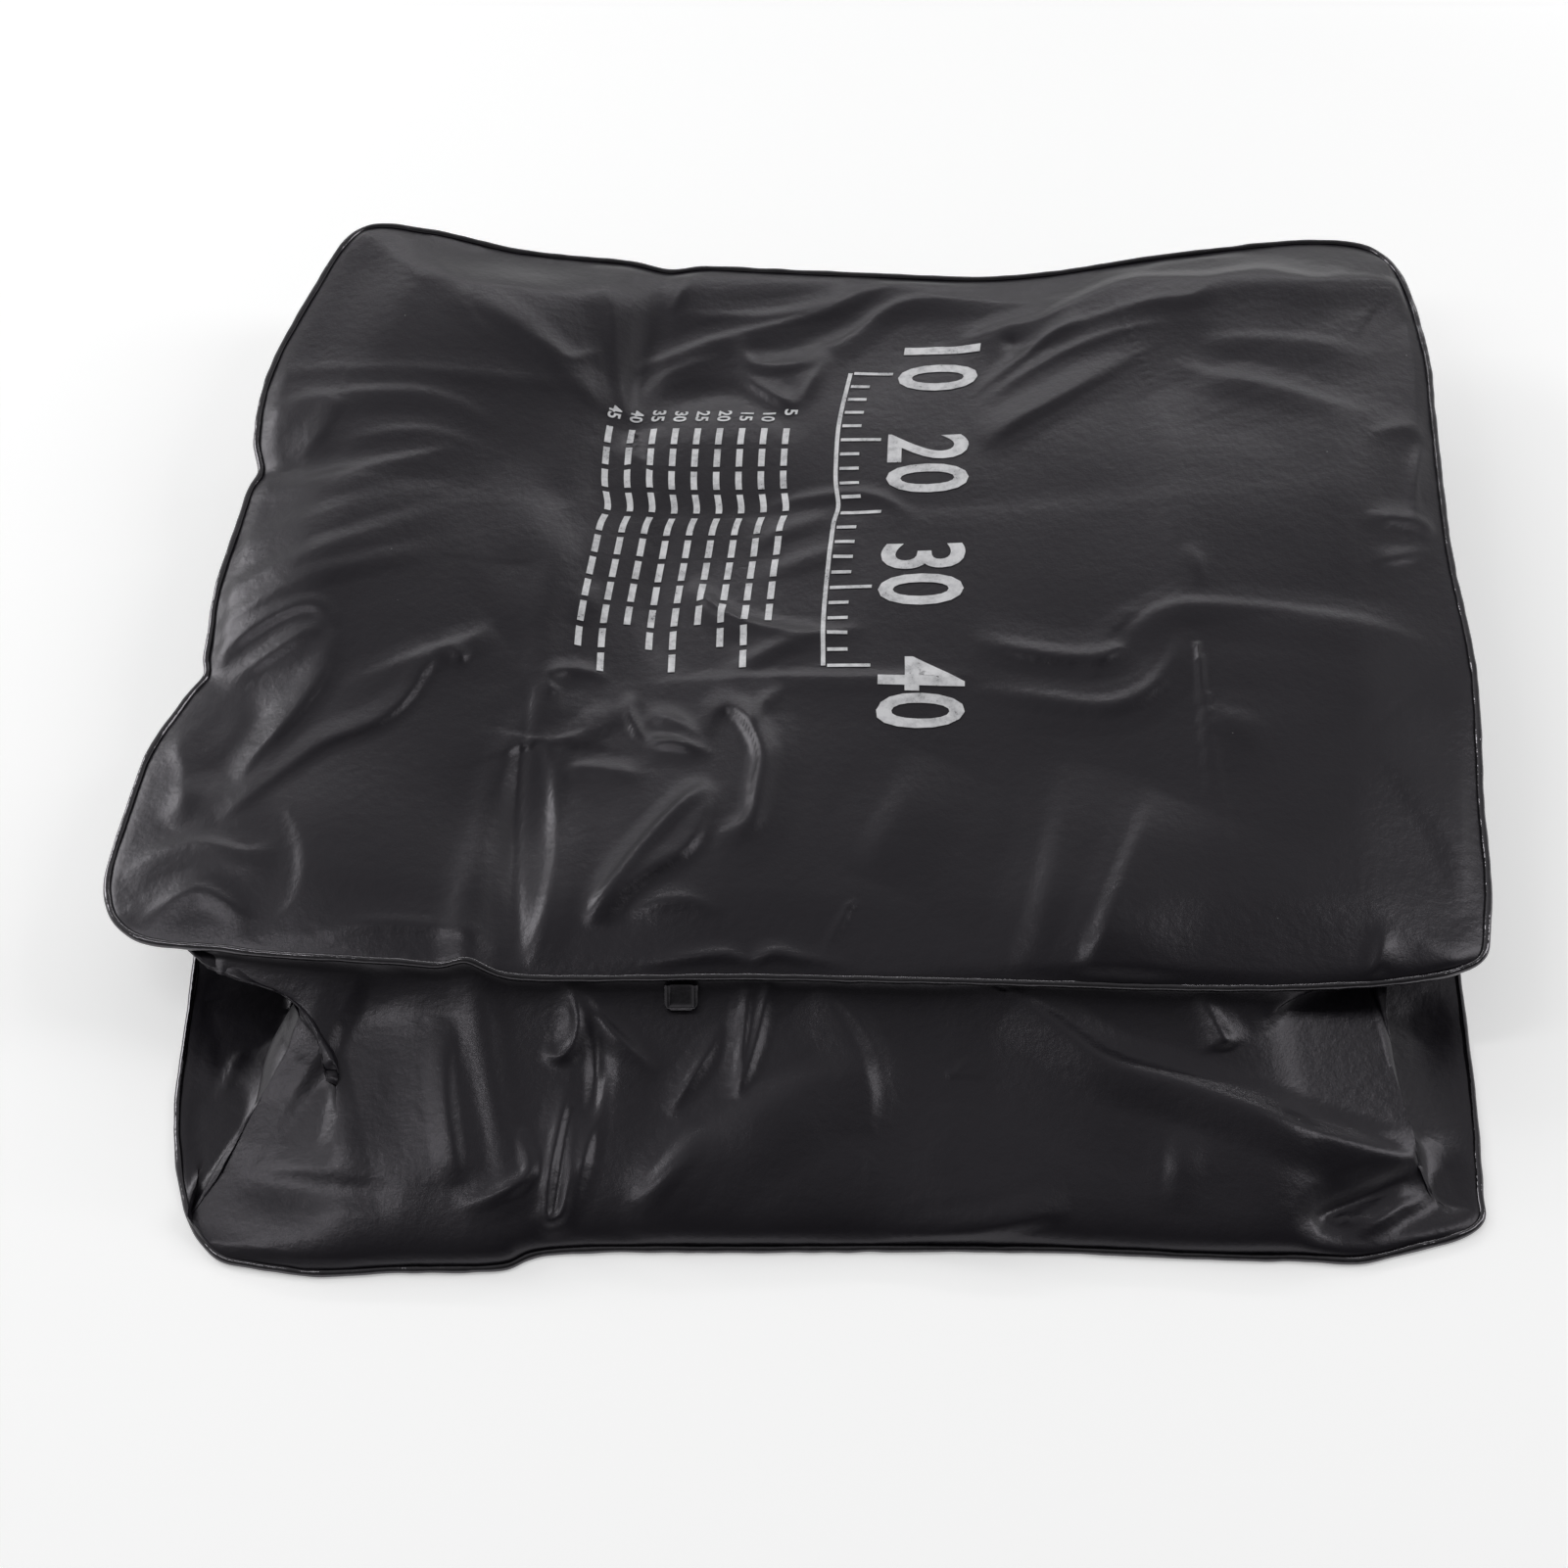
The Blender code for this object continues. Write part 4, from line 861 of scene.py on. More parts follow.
def tuck_of(station):
    """How far the strip is tucked in, 0 in front and behind and 1 at the ends, and the tuck's plane."""
    amount, plane = np.zeros(station.shape), np.zeros(station.shape)
    for first, last, place in TUCKS:
        for turn in (0, STATIONS):
            inside = station % STATIONS + turn
            share = ease((np.minimum(inside - first, last - inside) / TUCK_SPREAD + 1) / 2)
            plane = np.where(share > 0, place, plane)
            amount = np.maximum(amount, share)
    return amount[..., None], plane[..., None]


def plain_sections(station, rows):
    """Sections of the strip at some stations, each from the lower seam to the upper one."""
    foot = lower_seam(station) + inward(lower_seam, station) * FOOT_INSET
    head = upper_seam(station) + inward(upper_seam, station) * HEAD_INSET
    foot[:, 2] = FOOT_HEIGHT
    head[:, 2] -= HEAD_DROP
    amount, plane = tuck_of(station)
    up = np.array((0, 0, 1))
    low, high = foot + up * WALL_RISE, head - up * WALL_RISE
    foot_depth = np.maximum(0, np.abs(foot[:, :1]) - np.abs(plane)) * TUCK_REACH
    head_depth = np.maximum(0, np.abs(head[:, :1]) - np.abs(plane)) * TUCK_REACH
    low += (foot + up * TUCK_RISE + inward(lower_seam, station) * foot_depth - low) * amount
    high += (head - up * TUCK_RISE + inward(upper_seam, station) * head_depth - high) * amount
    t = np.linspace(0, 1, rows + 1)[None, :, None]
    s = 1 - t
    places = foot[:, None] * s**3 + low[:, None] * (3 * t * s**2) + high[:, None] * (3 * t**2 * s)
    places = places + head[:, None] * t**3
    side = places[..., 0]
    held = np.where(plane > 0, np.maximum(side, plane), np.minimum(side, plane))
    places[..., 0] = np.where(amount > FLAT_AMOUNT, held, side)
    return places


def plain_section(station, rows):
    return plain_sections(np.array((float(station),)), rows)[0]


def corner_guide(guide, rows):
    """A corner's guide points, read as evenly along their run as the sections are."""
    guide = np.array(guide) * MILLIMETRE
    run = run_along(guide)
    places = np.linspace(0, run[-1], rows + 1)
    return np.stack([np.interp(places, run, guide[:, k]) for k in range(3)], -1)


def strip_sections(station, rows):
    """The strip's sections. At both front corners it is pulled taut from the corner's guide."""
    places = plain_sections(station, rows)
    up = np.linspace(0, 1, rows + 1)[None, :, None]
    for corner, guide, before, after, top in CORNERS:
        ridge = corner_guide(guide, rows)
        taut = ease(np.minimum(up, top - up) / TAUT_REACH)
        gap = station_gap(station, corner)
        share = np.clip(1 - np.abs(gap) / np.where(gap < 0, before, after), 0, 1)[:, None, None]
        places = places + share * (ridge - plain_section(corner, rows))
        for side, reach in ((-1, before), (1, after)):
            drawn = ridge * share + plain_section(corner + side * reach, rows) * (1 - share)
            near = ease(share / TAUT_SHARE) * (gap * side > 0)[:, None, None]
            places = places + (drawn - places) * taut * near
    return places


def half_way_up(station):
    """Places half way between the two seams."""
    return (lower_seam(station) + upper_seam(station)) / 2


# The folds of the front, written as the panel's are.
FRONT_FOLDS = (
    # hooks and loop under the crease
    (6, 10, 0.6, ((579, 1001, 0), (590, 1040, 2.5), (585, 1066, 2.5), (570, 1079, 2), (553, 1071, 0))),
    (8, 10, 0.6, ((579, 1105, 0), (566, 1170, 2.5), (557, 1235, 2.5), (566, 1243, 2.5),
                  (576, 1225, 2.5), (585, 1140, 0))),
    (8, 14, 0.5, ((618, 1097, 0), (600, 1170, 2.5), (583, 1240, 0))),
    (10, 12, 0.4, ((607, 1020, 0), (608, 1100, -3), (600, 1190, 0))),
    (10, 20, 0.5, ((579, 1001, 0), (620, 1050, 3), (674, 1097, 0))),
    # narrow lines in the middle
    (7, 9, 0.6, ((784, 1010, 1), (770, 1070, 2), (752, 1124, 0))),
    (7, 9, 0.6, ((763, 1014, 1), (757, 1070, 2), (752, 1124, 0))),
    (8, 10, 0.5, ((738, 1046, 0), (710, 1095, 2), (681, 1139, 0))),
    # soft facets in the middle
    (16, 44, 0.2, ((830, 1012, 0), (856, 1042, 2), (876, 1075, 2.4), (885, 1112, 1.4), (884, 1160, 0))),
    (34, 70, 0.1, ((640, 1262, 0), (700, 1200, 2.6), (760, 1150, 3.4), (820, 1115, 3.2),
                   (880, 1100, 1.5), (930, 1100, 0))),
    (16, 22, 0.3, ((648, 1238, 0), (672, 1205, 2.2), (700, 1172, 2), (720, 1148, 0))),
    (16, 28, 0.3, ((1095, 1230, 0), (1050, 1243, 2.2), (1000, 1254, 2.4), (950, 1260, 1.2),
                   (900, 1264, 0))),
    (20, 30, 0.2, ((1200, 1238, 0), (1205, 1190, 1.8), (1212, 1150, 0))),
    # hook and long ridge on the right
    (12, 14, 0.4, ((1222, 1016, 0), (1238, 1040, 2.5), (1250, 1062, 3), (1253, 1072, 0))),
    (16, 44, 0.5, ((1033, 1018, 2), (1080, 1050, 3.8), (1133, 1085, 5), (1213, 1109, 5),
                   (1286, 1134, 5), (1332, 1153, 5), (1378, 1167, 5), (1424, 1181, 4),
                   (1451, 1190, 0))),
    # left part: the valley beside the corner ridge, streak and dart
    (22, 50, 0.1, ((250, 1225, 0), (300, 1150, -1.6), (345, 1080, -2.6), (372, 1030, -3),
                   (390, 985, 0))),
    (8, 12, 0.4, ((226, 966, 0), (222, 1020, 2), (214, 1080, 2), (208, 1130, 0))),
    (8, 12, 0.3, ((200, 1000, 0), (196, 1060, 1.8), (192, 1120, 0))),
    (8, 12, 0.3, ((258, 1040, 0), (238, 1090, 1.8), (212, 1150, 1.4), (188, 1210, 0))),
    (16, 24, 0.2, ((458, 1036, 0), (452, 1080, 2), (455, 1130, 2.5), (462, 1180, 2), (466, 1212, 0))),
    (22, 26, 0, ((236, 1214, 0), (300, 1212, -1.4), (360, 1216, -1.4), (410, 1222, 0))),
    (12, 14, 0.5, ((466, 1236, 0), (520, 1212, 3), (540, 1192, 3), (531, 1149, 0))),
    # right corner dimple
    (12, 16, 0.5, ((1449, 1192, 0), (1400, 1220, -4), (1352, 1242, -4), (1387, 1258, 0))),
    (8, 10, 0.4, ((1458, 1222, 0), (1432, 1232, 1.6), (1408, 1247, 1.6), (1385, 1262, 0))),
)
FRONT_FOLD_SHARE = 1.25
# The strip's lengths: piece, node, first and last station, step of its grid, and whether it has folds.
STRIP_LENGTHS = (
    ("front_side", "front_wall", 2, 6, 0.0013, True),
    ("hanging_front_side", "hanging_front_corner", 6, 9, 0.0015, True),
    ("hanging_side", "hanging_end_wall", 9, 14, 0.0026, False),
    ("hanging_rear_side", "hanging_rear_corner", 14, 17, 0.0026, False),
    ("rear_side", "rear_wall", 17, 21, 0.0024, False),
    ("outlet_rear_side", "outlet_rear_corner", 21, 24, 0.0026, False),
    ("outlet_side", "outlet_end_wall", 24, 28, 0.0026, False),
    ("outlet_front_side", "outlet_front_corner", 28, 32, 0.0015, True),
)
STRIP_HOLD_SHARE = 0.10
# Waves in the strip are drawn out along the bag, and are mostly gone where it is tucked in.
STRIP_WAVES = ((0.0015, 0.055, 3), (0.0003, 0.020, 4))
STRIP_STRETCH, TUCK_CALM = (1, 0.35, 0.35), 0.9
STRIP_LOWEST = 0.0012
JOINTS = frame["record"]["behaviour"]["joints"]
HINGES = {joint["name"]: Vector(joint["pos_m"]) for joint in JOINTS if "pos_m" in joint}
# The tucked ends buckle inwards, away from what is welded to them.
BUCKLE_DEPTH, BUCKLE_SHARE, BUCKLE_NOISE, BUCKLE_STRETCH = 0.012, 0.30, (0.050, 9), (0.2, 1, 0.5)
FITTINGS = ("cap_spin", "tap_turn", "front_hang_tab_swing", "rear_hang_tab_swing")
FITTING_REACH, FITTING_FADE = 0.022, 0.030


def end_buckles(grid):
    """How deep the film of a tucked end buckles, in metres."""
    uneven = crumple(grid * np.array(BUCKLE_STRETCH), *BUCKLE_NOISE)
    depth = BUCKLE_DEPTH * np.maximum(0, BUCKLE_SHARE + uneven)
    for fitting in FITTINGS:
        place = HINGES[fitting]
        clear = ease((np.abs(grid[..., 1] - place.y) - FITTING_REACH) / FITTING_FADE)
        depth = np.where(grid[..., 0] * place.x > 0, depth * clear, depth)
    return depth


grids = {}
for name, node, first, last, step, folded in STRIP_LENGTHS:
    length = run_along(half_way_up(np.linspace(first, last, 400)))[-1]
    station = even_stations(half_way_up, first, last, round(length / step) + 1)
    rows = round(WALL_WIDTH / step)
    grid = strip_sections(station, rows).transpose(1, 0, 2)
    up = np.linspace(0, 1, rows + 1)[:, None]
    hold = ease(np.minimum(up, 1 - up) / STRIP_HOLD_SHARE) * np.ones((1, len(station)))
    tucked = tuck_of(station)[0][:, 0][None]
    lift = film_waves(grid * np.array(STRIP_STRETCH), STRIP_WAVES)
    lift = lift * (1 - TUCK_CALM * tucked) - end_buckles(grid) * tucked
    grid = grid + grid_normals(grid) * (lift * hold)[..., None]
    if folded:
        grid = press_folds(grid, FRONT_FOLDS, hold * FRONT_FOLD_SHARE)
    grid[..., 2] = np.maximum(grid[..., 2], STRIP_LOWEST)
    grids[name] = grid
    dress(film_mesh(name, grid, thickness=FILM / 2), film, "bag", "black_film", node)

# Weld flange
# Under the front of the upper bead the welding bar has left its track: a thin flange, pressed smooth,
# that shows as a grey line along the side strip, from the side tab to the right.
FLANGE_FROM, FLANGE_TO = 0.0012, 0.0040
FLANGE_LIFT, FLANGE_THICKNESS = 0.0005, 0.0003
FLANGE_START = -0.054
FLANGE_GREY, FLANGE_ROUGHNESS, FLANGE_INDEX = (0.014, 0.0135, 0.015), 0.30, 1.5
MELTED_LIGHT, MELTED_UNEVEN = 1.5, 0.08


def below_head(grid, drop):
    """The line that lies a length below the upper edge of one length of the strip."""
    line = []
    for column in grid[::-1].transpose(1, 0, 2):
        run = run_along(column)
        line.append([np.interp(drop, run, column[:, k]) for k in range(3)])
    return np.array(line)


def tone(colour, share):
    """The colour made lighter or darker."""
    return tuple(c * share for c in colour)


def melted_finish(name, colour, roughness, index):
    """Film that has melted and set: deep black and glossy, with a slight waviness."""
    finish = Finish(name)
    wave = finish.noise(scale=260, detail=2)
    return finish.surface(
        Base_Color=finish.colour(wave, colour, tone(colour, MELTED_LIGHT)),
        Roughness=roughness + wave * MELTED_UNEVEN,
        Specular_Tint=FILM_TINT,
        IOR=index,
        Normal=finish.bump(wave, distance=0.0008, strength=0.3),
    )


track = []
for drop in (FLANGE_TO, (FLANGE_FROM + FLANGE_TO) / 2, FLANGE_FROM):
    front, corner = (below_head(grids[name], drop) for name in ("front_side", "hanging_front_side"))
    track.append(np.concatenate((front, corner[1:])))
track = np.array(track)
track = track[:, track[0, :, 0] > FLANGE_START]
track = track + grid_normals(track) * FLANGE_LIFT
flange = film_mesh("weld_flange", track, thickness=FLANGE_THICKNESS)
flange_grey = melted_finish("flange_grey", FLANGE_GREY, FLANGE_ROUGHNESS, FLANGE_INDEX)
dress(flange, flange_grey, "bag", "seam_gloss")

# Weld beads
# Each face is welded to the strip by a heated bar. The film that it squeezes out sets as a smooth,
# glossy bead round the rim.
BEAD_RADIUS, BEAD_SIDES, BEAD_STEPS = 0.0017, 10, 1100
BEAD_UNEVEN, BEAD_WANDER = 0.16, 0.0003
# Size and seed of the noise in its thickness, and of its wander out and up.
BEAD_THICK_NOISE, BEAD_OUT_NOISE, BEAD_UP_NOISE = (0.009, 6), (0.012, 7), (0.016, 8)
BEAD_BLACK, BEAD_ROUGHNESS, BEAD_INDEX = (0.0040, 0.0038, 0.0046), 0.04, 1.85


def bead(name, curve):
    """A tube that runs all round a seam, of slightly uneven thickness."""
    station = even_stations(curve, 0, STATIONS, BEAD_STEPS + 1)[:-1]
    line = curve(station)
    run = np.roll(line, -1, 0) - np.roll(line, 1, 0)
    run /= np.linalg.norm(run, axis=1, keepdims=True)
    out = -inward(curve, station)
    up = np.cross(out, run)
    up *= np.sign(up[:, 2:])
    thick = BEAD_RADIUS * (1 + BEAD_UNEVEN * crumple(line, *BEAD_THICK_NOISE))
    wander = out * crumple(line, *BEAD_OUT_NOISE)[:, None] + up * crumple(line, *BEAD_UP_NOISE)[:, None]
    angle = np.linspace(0, math.tau, BEAD_SIDES, endpoint=False)
    ring = out[:, None] * np.cos(angle)[None, :, None] + up[:, None] * np.sin(angle)[None, :, None]
    points = (line + wander * BEAD_WANDER)[:, None] + ring * thick[:, None, None]
    at = np.arange(BEAD_STEPS * BEAD_SIDES).reshape(BEAD_STEPS, BEAD_SIDES)
    ahead, beside = np.roll(at, -1, 0), np.roll(at, -1, 1)
    faces = np.stack((at, beside, np.roll(ahead, -1, 1), ahead), -1).reshape(-1, 4)
    mesh = bpy.data.meshes.new(name)
    mesh.from_pydata(points.reshape(-1, 3).tolist(), [], faces.tolist())
    mesh.shade_smooth()
    work = bmesh.new()
    work.from_mesh(mesh)
    bmesh.ops.recalc_face_normals(work, faces=work.faces)
    work.to_mesh(mesh)
    work.free()
    return placed(name, mesh)


bead_black = melted_finish("weld_bead", BEAD_BLACK, BEAD_ROUGHNESS, BEAD_INDEX)
dress(bead("upper_bead", upper_seam), bead_black, "bag", "seam_gloss", "upper_seam")
dress(bead("lower_bead", lower_seam), bead_black, "bag", "seam_gloss", "lower_seam")

# Side tab
# A short pull tab of doubled film, welded under the front of the upper bead. The weld left it glossy,
# with a low rim round its edge.
SIDE_TAB_WIDTH, SIDE_TAB_LENGTH, SIDE_TAB_DEPTH, SIDE_TAB_CORNER = 0.0145, 0.0112, 0.0013, 0.0035
SIDE_TAB_TILT = math.radians(-41.9)
SIDE_TAB_CURL = 0.0012
SIDE_TAB_ROUGHNESS = 0.08
SIDE_TAB_RIM, RIM_INSET, RIM_REACH = 0.0006, 0.0014, 0.0008
TAB_EDGE = 0.0003
TAB_CELL, TAB_CELL_SHIFT = 0.0004, 0.013
SHARP_TAB = math.radians(50)


def arc(middle, radius, first, last, steps=10):
    """Places along an arc, from its first to its last angle in degrees."""
    angle = np.radians(np.linspace(first, last, steps + 1))
    return [(middle[0] + radius * math.cos(a), middle[1] + radius * math.sin(a)) for a in angle]


def flap_outline(width, length, corner):
    """A flap that hangs from its origin, with two round lower corners."""
    side = width / 2 - corner
    low = arc((-side, corner - length), corner, 180, 270) + arc((side, corner - length), corner, 270, 360)
    return low + [(width / 2, 0), (-width / 2, 0)]


def cut_film(name, runs, depth, shape):
    """Thick film cut along closed runs, the outer one first, with round rims, and shaped in small cells."""
    drawn = bpy.data.curves.new(name, "CURVE")
    drawn.dimensions = "2D"
    drawn.fill_mode = "BOTH"
    drawn.extrude = depth / 2 - TAB_EDGE
    drawn.bevel_depth = TAB_EDGE
    drawn.bevel_resolution = 2
    drawn.offset = -TAB_EDGE
    for run in runs:
        line = drawn.splines.new("POLY")
        line.points.add(len(run) - 1)
        line.points.foreach_set("co", [c for x, y in run for c in (x, y, 0, 1)])
        line.use_cyclic_u = True
    made = placed(name, drawn)
    work = drawn_mesh(made)
    bmesh.ops.remove_doubles(work, verts=work.verts[:], dist=DOUBLES)
    cut_into_cells(work, (TAB_CELL, TAB_CELL), TAB_CELL_SHIFT)
    for vert in work.verts:
        vert.co = shape(vert.co)
    bmesh.ops.recalc_face_normals(work, faces=work.faces[:])
    work.to_mesh(made.data)
    work.free()
    made.data.shade_smooth()
    made.data.set_sharp_from_angle(angle=SHARP_TAB)
    return made


def pressed(off, reach):
    """A soft line pressed into film: 1 on the line, and 0 away from it."""
    return math.exp(-((off / reach) ** 2))


def side_tab_shape(place):
    """The tab curls a little away from the strip towards its tip."""
    down = -place.y / SIDE_TAB_LENGTH
    out = place.z - SIDE_TAB_DEPTH / 2 + SIDE_TAB_CURL * max(down, 0) ** 2
    from_rim = min(SIDE_TAB_WIDTH / 2 - abs(place.x), SIDE_TAB_LENGTH + place.y)
    rim = SIDE_TAB_RIM * pressed(from_rim - RIM_INSET, RIM_REACH)
    flat = Vector((place.x, -out - math.copysign(rim, out), place.y))
    return HINGES["pull_tab_lift"] + Matrix.Rotation(SIDE_TAB_TILT, 3, "X") @ flat


outline = flap_outline(SIDE_TAB_WIDTH, SIDE_TAB_LENGTH, SIDE_TAB_CORNER)
pull_tab = cut_film("glossy_pull_tab", [outline], SIDE_TAB_DEPTH, side_tab_shape)
tab_gloss = melted_finish("tab_gloss", BEAD_BLACK, SIDE_TAB_ROUGHNESS, BEAD_INDEX)
dress(pull_tab, tab_gloss, "pull_tab", "seam_gloss", "side_tab")

# Hang tabs
# Two flaps of doubled film hang from strips welded to the hanging end. Each is welded round its rim,
# and its hole is lined by a nickel-plated eyelet, rolled over at the front and set on a washer behind.
TAB_WIDTH, TAB_LENGTH, TAB_DEPTH, TAB_CORNER = 0.028, 0.0210, 0.0014, 0.0060
TAB_STRIP, STRIP_DEPTH, STRIP_CORNER = 0.0050, 0.0026, 0.0015
TAB_GAP, TAB_BEHIND = 0.0003, 0.0001
TAB_SWAY, TAB_SWAYS = 0.0002, 1.6
EYELET_EDGE, EYELET_HOLE = 0.0100, 0.0052
WELD_LINE, WELD_INSET, WELD_REACH = 0.00018, 0.0024, 0.0005
KNURL_PITCH = 0.0011
EYELET_BORE, EYELET_BARREL, EYELET_RIM, EYELET_ROLL = 0.0040, 0.0050, 0.0072, 0.0008
EYELET_SEAT, EYELET_LIP, EYELET_LIP_DROP = 0.0002, 0.0002, 0.0001
WASHER_RIM, WASHER_DEPTH, WASHER_EDGE = 0.0069, 0.0005, 0.0003
NICKEL_BRIGHT, NICKEL_STAINED = (0.66, 0.65, 0.62), (0.50, 0.48, 0.44)
NICKEL_ROUGHNESS, NICKEL_UNEVEN = 0.20, 0.18
SHARP_TURNED = math.radians(40)


def turned_piece(name, profile, centre, steps=96):
    """A piece turned about X: its closed profile gives places out from the axis and along it."""
    mesh = bpy.data.meshes.new(name)
    axis = Vector((1, 0, 0))
    out = axis.orthogonal().normalized()
    points = [Vector(centre) + axis * along + out * radius for radius, along in profile]
    mesh.from_pydata(points, [(k, (k + 1) % len(points)) for k in range(len(points))], [])
    piece = placed(name, mesh)
    select_only(piece)
    bpy.ops.object.mode_set(mode="EDIT")
    bpy.ops.mesh.select_all(action="SELECT")
    bpy.ops.mesh.spin(steps=steps, angle=math.tau, center=centre, axis=axis)
    bpy.ops.mesh.select_all(action="SELECT")
    bpy.ops.mesh.remove_doubles(threshold=1e-5)
    bpy.ops.mesh.normals_make_consistent(inside=False)
    bpy.ops.object.mode_set(mode="OBJECT")
    mesh.shade_smooth()
    mesh.set_sharp_from_angle(angle=SHARP_TURNED)
    return piece


def hang_tab_shape(fold):
    """Places a flap's cut film on the hanging end, with its weld lines pressed in."""

    def shape(place):
        from_rim = min(TAB_WIDTH / 2 - abs(place.x), TAB_LENGTH + place.y)
        lines = pressed(from_rim - WELD_INSET, WELD_REACH) + pressed(place.y + WELD_INSET, WELD_REACH)
        sway = TAB_SWAY * math.sin(place.x / TAB_WIDTH * math.pi * TAB_SWAYS)
        deep = place.z - math.copysign(min(lines, 1) * WELD_LINE, place.z) + sway
        return Vector((fold.x - TAB_DEPTH / 2 - TAB_BEHIND + deep, fold.y + place.x, fold.z + place.y))

    return shape


def strip_shape(fold):
    """Places a welded strip's cut film above its flap, with the cross ribs of the weld's knurled bar."""

    def shape(place):
        rib = WELD_LINE * math.sin(place.x / KNURL_PITCH * math.tau)
        deep = place.z + (rib if place.z > 0 else 0)
        up = TAB_STRIP + TAB_GAP + place.y
        return Vector((fold.x - STRIP_DEPTH / 2 + deep, fold.y + place.x, fold.z + up))

    return shape


finish = Finish("eyelet_nickel")
scratch = finish.noise(scale=1400, detail=3)
stain = finish.noise(scale=300, detail=2)
nickel = finish.surface(
    Base_Color=finish.colour(stain, NICKEL_BRIGHT, NICKEL_STAINED),
    Metallic=1.0,
    Roughness=NICKEL_ROUGHNESS + scratch * NICKEL_UNEVEN,
    Normal=finish.bump(scratch, distance=0.0002, strength=0.15),
)

front = TAB_DEPTH / 2 + EYELET_SEAT
half = (EYELET_RIM - EYELET_BORE) / 2
crown = arc((EYELET_BORE + half, 0), half, 180, 0, 12)
eyelet = [(radius, front + along * EYELET_ROLL / half) for radius, along in crown]
eyelet += [
    (EYELET_RIM - EYELET_LIP, front - EYELET_LIP_DROP),
    (EYELET_BARREL, front - EYELET_LIP_DROP),
    (EYELET_BARREL, -front),
    (WASHER_RIM, -front),
    (WASHER_RIM, -front - WASHER_EDGE),
    (WASHER_RIM - WASHER_EDGE, -front - WASHER_DEPTH),
    (EYELET_BORE, -front - WASHER_DEPTH),
]
flap_cut = flap_outline(TAB_WIDTH, TAB_LENGTH, TAB_CORNER)
strip_cut = flap_outline(TAB_WIDTH, TAB_STRIP, STRIP_CORNER)
hole = arc((0, EYELET_EDGE - TAB_LENGTH), EYELET_HOLE, 360, 0, 48)[:-1]
for side in ("front", "rear"):
    fold = HINGES[f"{side}_hang_tab_swing"]
    flap = cut_film(f"{side}_flap", [flap_cut, hole], TAB_DEPTH, hang_tab_shape(fold))
    dress(flap, film, f"{side}_hang_tab", "black_film", f"{side}_hang_tab_flap")
    strip = cut_film(f"{side}_welded_strip", [strip_cut], STRIP_DEPTH, strip_shape(fold))
    dress(strip, film, "bag", "black_film", f"{side}_hang_tab_weld")
    centre = fold + Vector((-TAB_DEPTH / 2 - TAB_BEHIND, 0, EYELET_EDGE - TAB_LENGTH))
    ring = turned_piece(f"{side}_eyelet", eyelet, centre)
    dress(ring, nickel, f"{side}_hang_tab", "eyelet_nickel", f"{side}_hang_tab_eyelet")

# Filler
# A threaded neck of moulded black plastic, welded to the hanging end by its flange, with a ribbed screw
# cap. The cap seals on a flat ring of grey rubber.
FILLER = HINGES["cap_spin"]
FLANGE_RADIUS, FLANGE_DEPTH, FLANGE_BRIM, FLANGE_EDGE, FLANGE_SLOPE = 0.0195, 0.0020, 0.0014, 0.0004, 0.0006
NECK_BORE, NECK_RADIUS, NECK_FOOT, NECK_FOOT_TOP, NECK_LENGTH = 0.0120, 0.0142, 0.0010, 0.0030, 0.0150
LIP_OUTSIDE, LIP_INSIDE, LIP_DROP = 0.0004, 0.0003, 0.0004
THREAD_PITCH, THREAD_HEIGHT, THREAD_WIDTH, THREAD_FROM, THREAD_TO = 0.0040, 0.0008, 0.0016, 0.0052, 0.0138
THREAD_STEEP, THREAD_RUN_OUT = 1.8, 0.001
CAP_FROM, CAP_TO, CAP_RADIUS, CAP_INSIDE, CAP_TOP = 0.0066, 0.0201, 0.0174, 0.0154, 0.0025
CAP_EDGE, CAP_ROUND, CAP_RIBS, RIB_HEIGHT, RIB_END = 0.0003, 0.001, 40, 0.0008, 0.0012
FINGER_RADIUS, FINGER_DEPTH, FINGER_SLOPE = 0.0110, 0.0010, 0.0008
# The rows of the neck's thread and of the cap's ribs: from, to and step.
NECK_ROWS = (0.0035, NECK_LENGTH - 0.0007, 0.0002)
CAP_ROWS = (CAP_FROM + 0.0008, CAP_TO - RIB_END, 0.0006)
GASKET_FROM, GASKET_TO, GASKET_OUTSIDE, GASKET_INSIDE, GASKET_EDGE = 0.0153, 0.0173, 0.0142, 0.0107, 0.0004
ON_WALL = 0.0001
MOULD_BLACK, MOULD_ROUGHNESS = (0.022, 0.022, 0.024), 0.45
RUBBER_GREY, RUBBER_ROUGHNESS = (0.18, 0.175, 0.165), 0.70
LEVER_GREY, LEVER_ROUGHNESS = (0.30, 0.30, 0.31), 0.42
MOULD_DARK, MOULD_LIGHT, MOULD_UNEVEN, FLOW_DEPTH = 0.85, 1.2, 0.12, 0.5


def moulded_finish(name, colour, roughness):
    """Moulded plastic or rubber: a fine spark-eroded grain, faint flow marks and a slightly uneven sheen."""
    finish = Finish(name)
    flow = finish.noise(scale=140, detail=2)
    grain = finish.noise(scale=2600, detail=2)
    return finish.surface(
        Base_Color=finish.colour(flow, tone(colour, MOULD_DARK), tone(colour, MOULD_LIGHT)),
        Roughness=roughness - MOULD_UNEVEN / 2 + flow * MOULD_UNEVEN,
        Normal=finish.bump(grain + flow * FLOW_DEPTH, distance=0.0002, strength=0.25),
    )


def held(value):
    """The value, held between 0 and 1."""
    return min(1, max(0, value))


def around_filler(vert):
    """How far a vertex lies along the filler's axis, and its way out from the axis."""
    off = vert.co - FILLER
    return off.x, Vector((0, off.y, off.z))


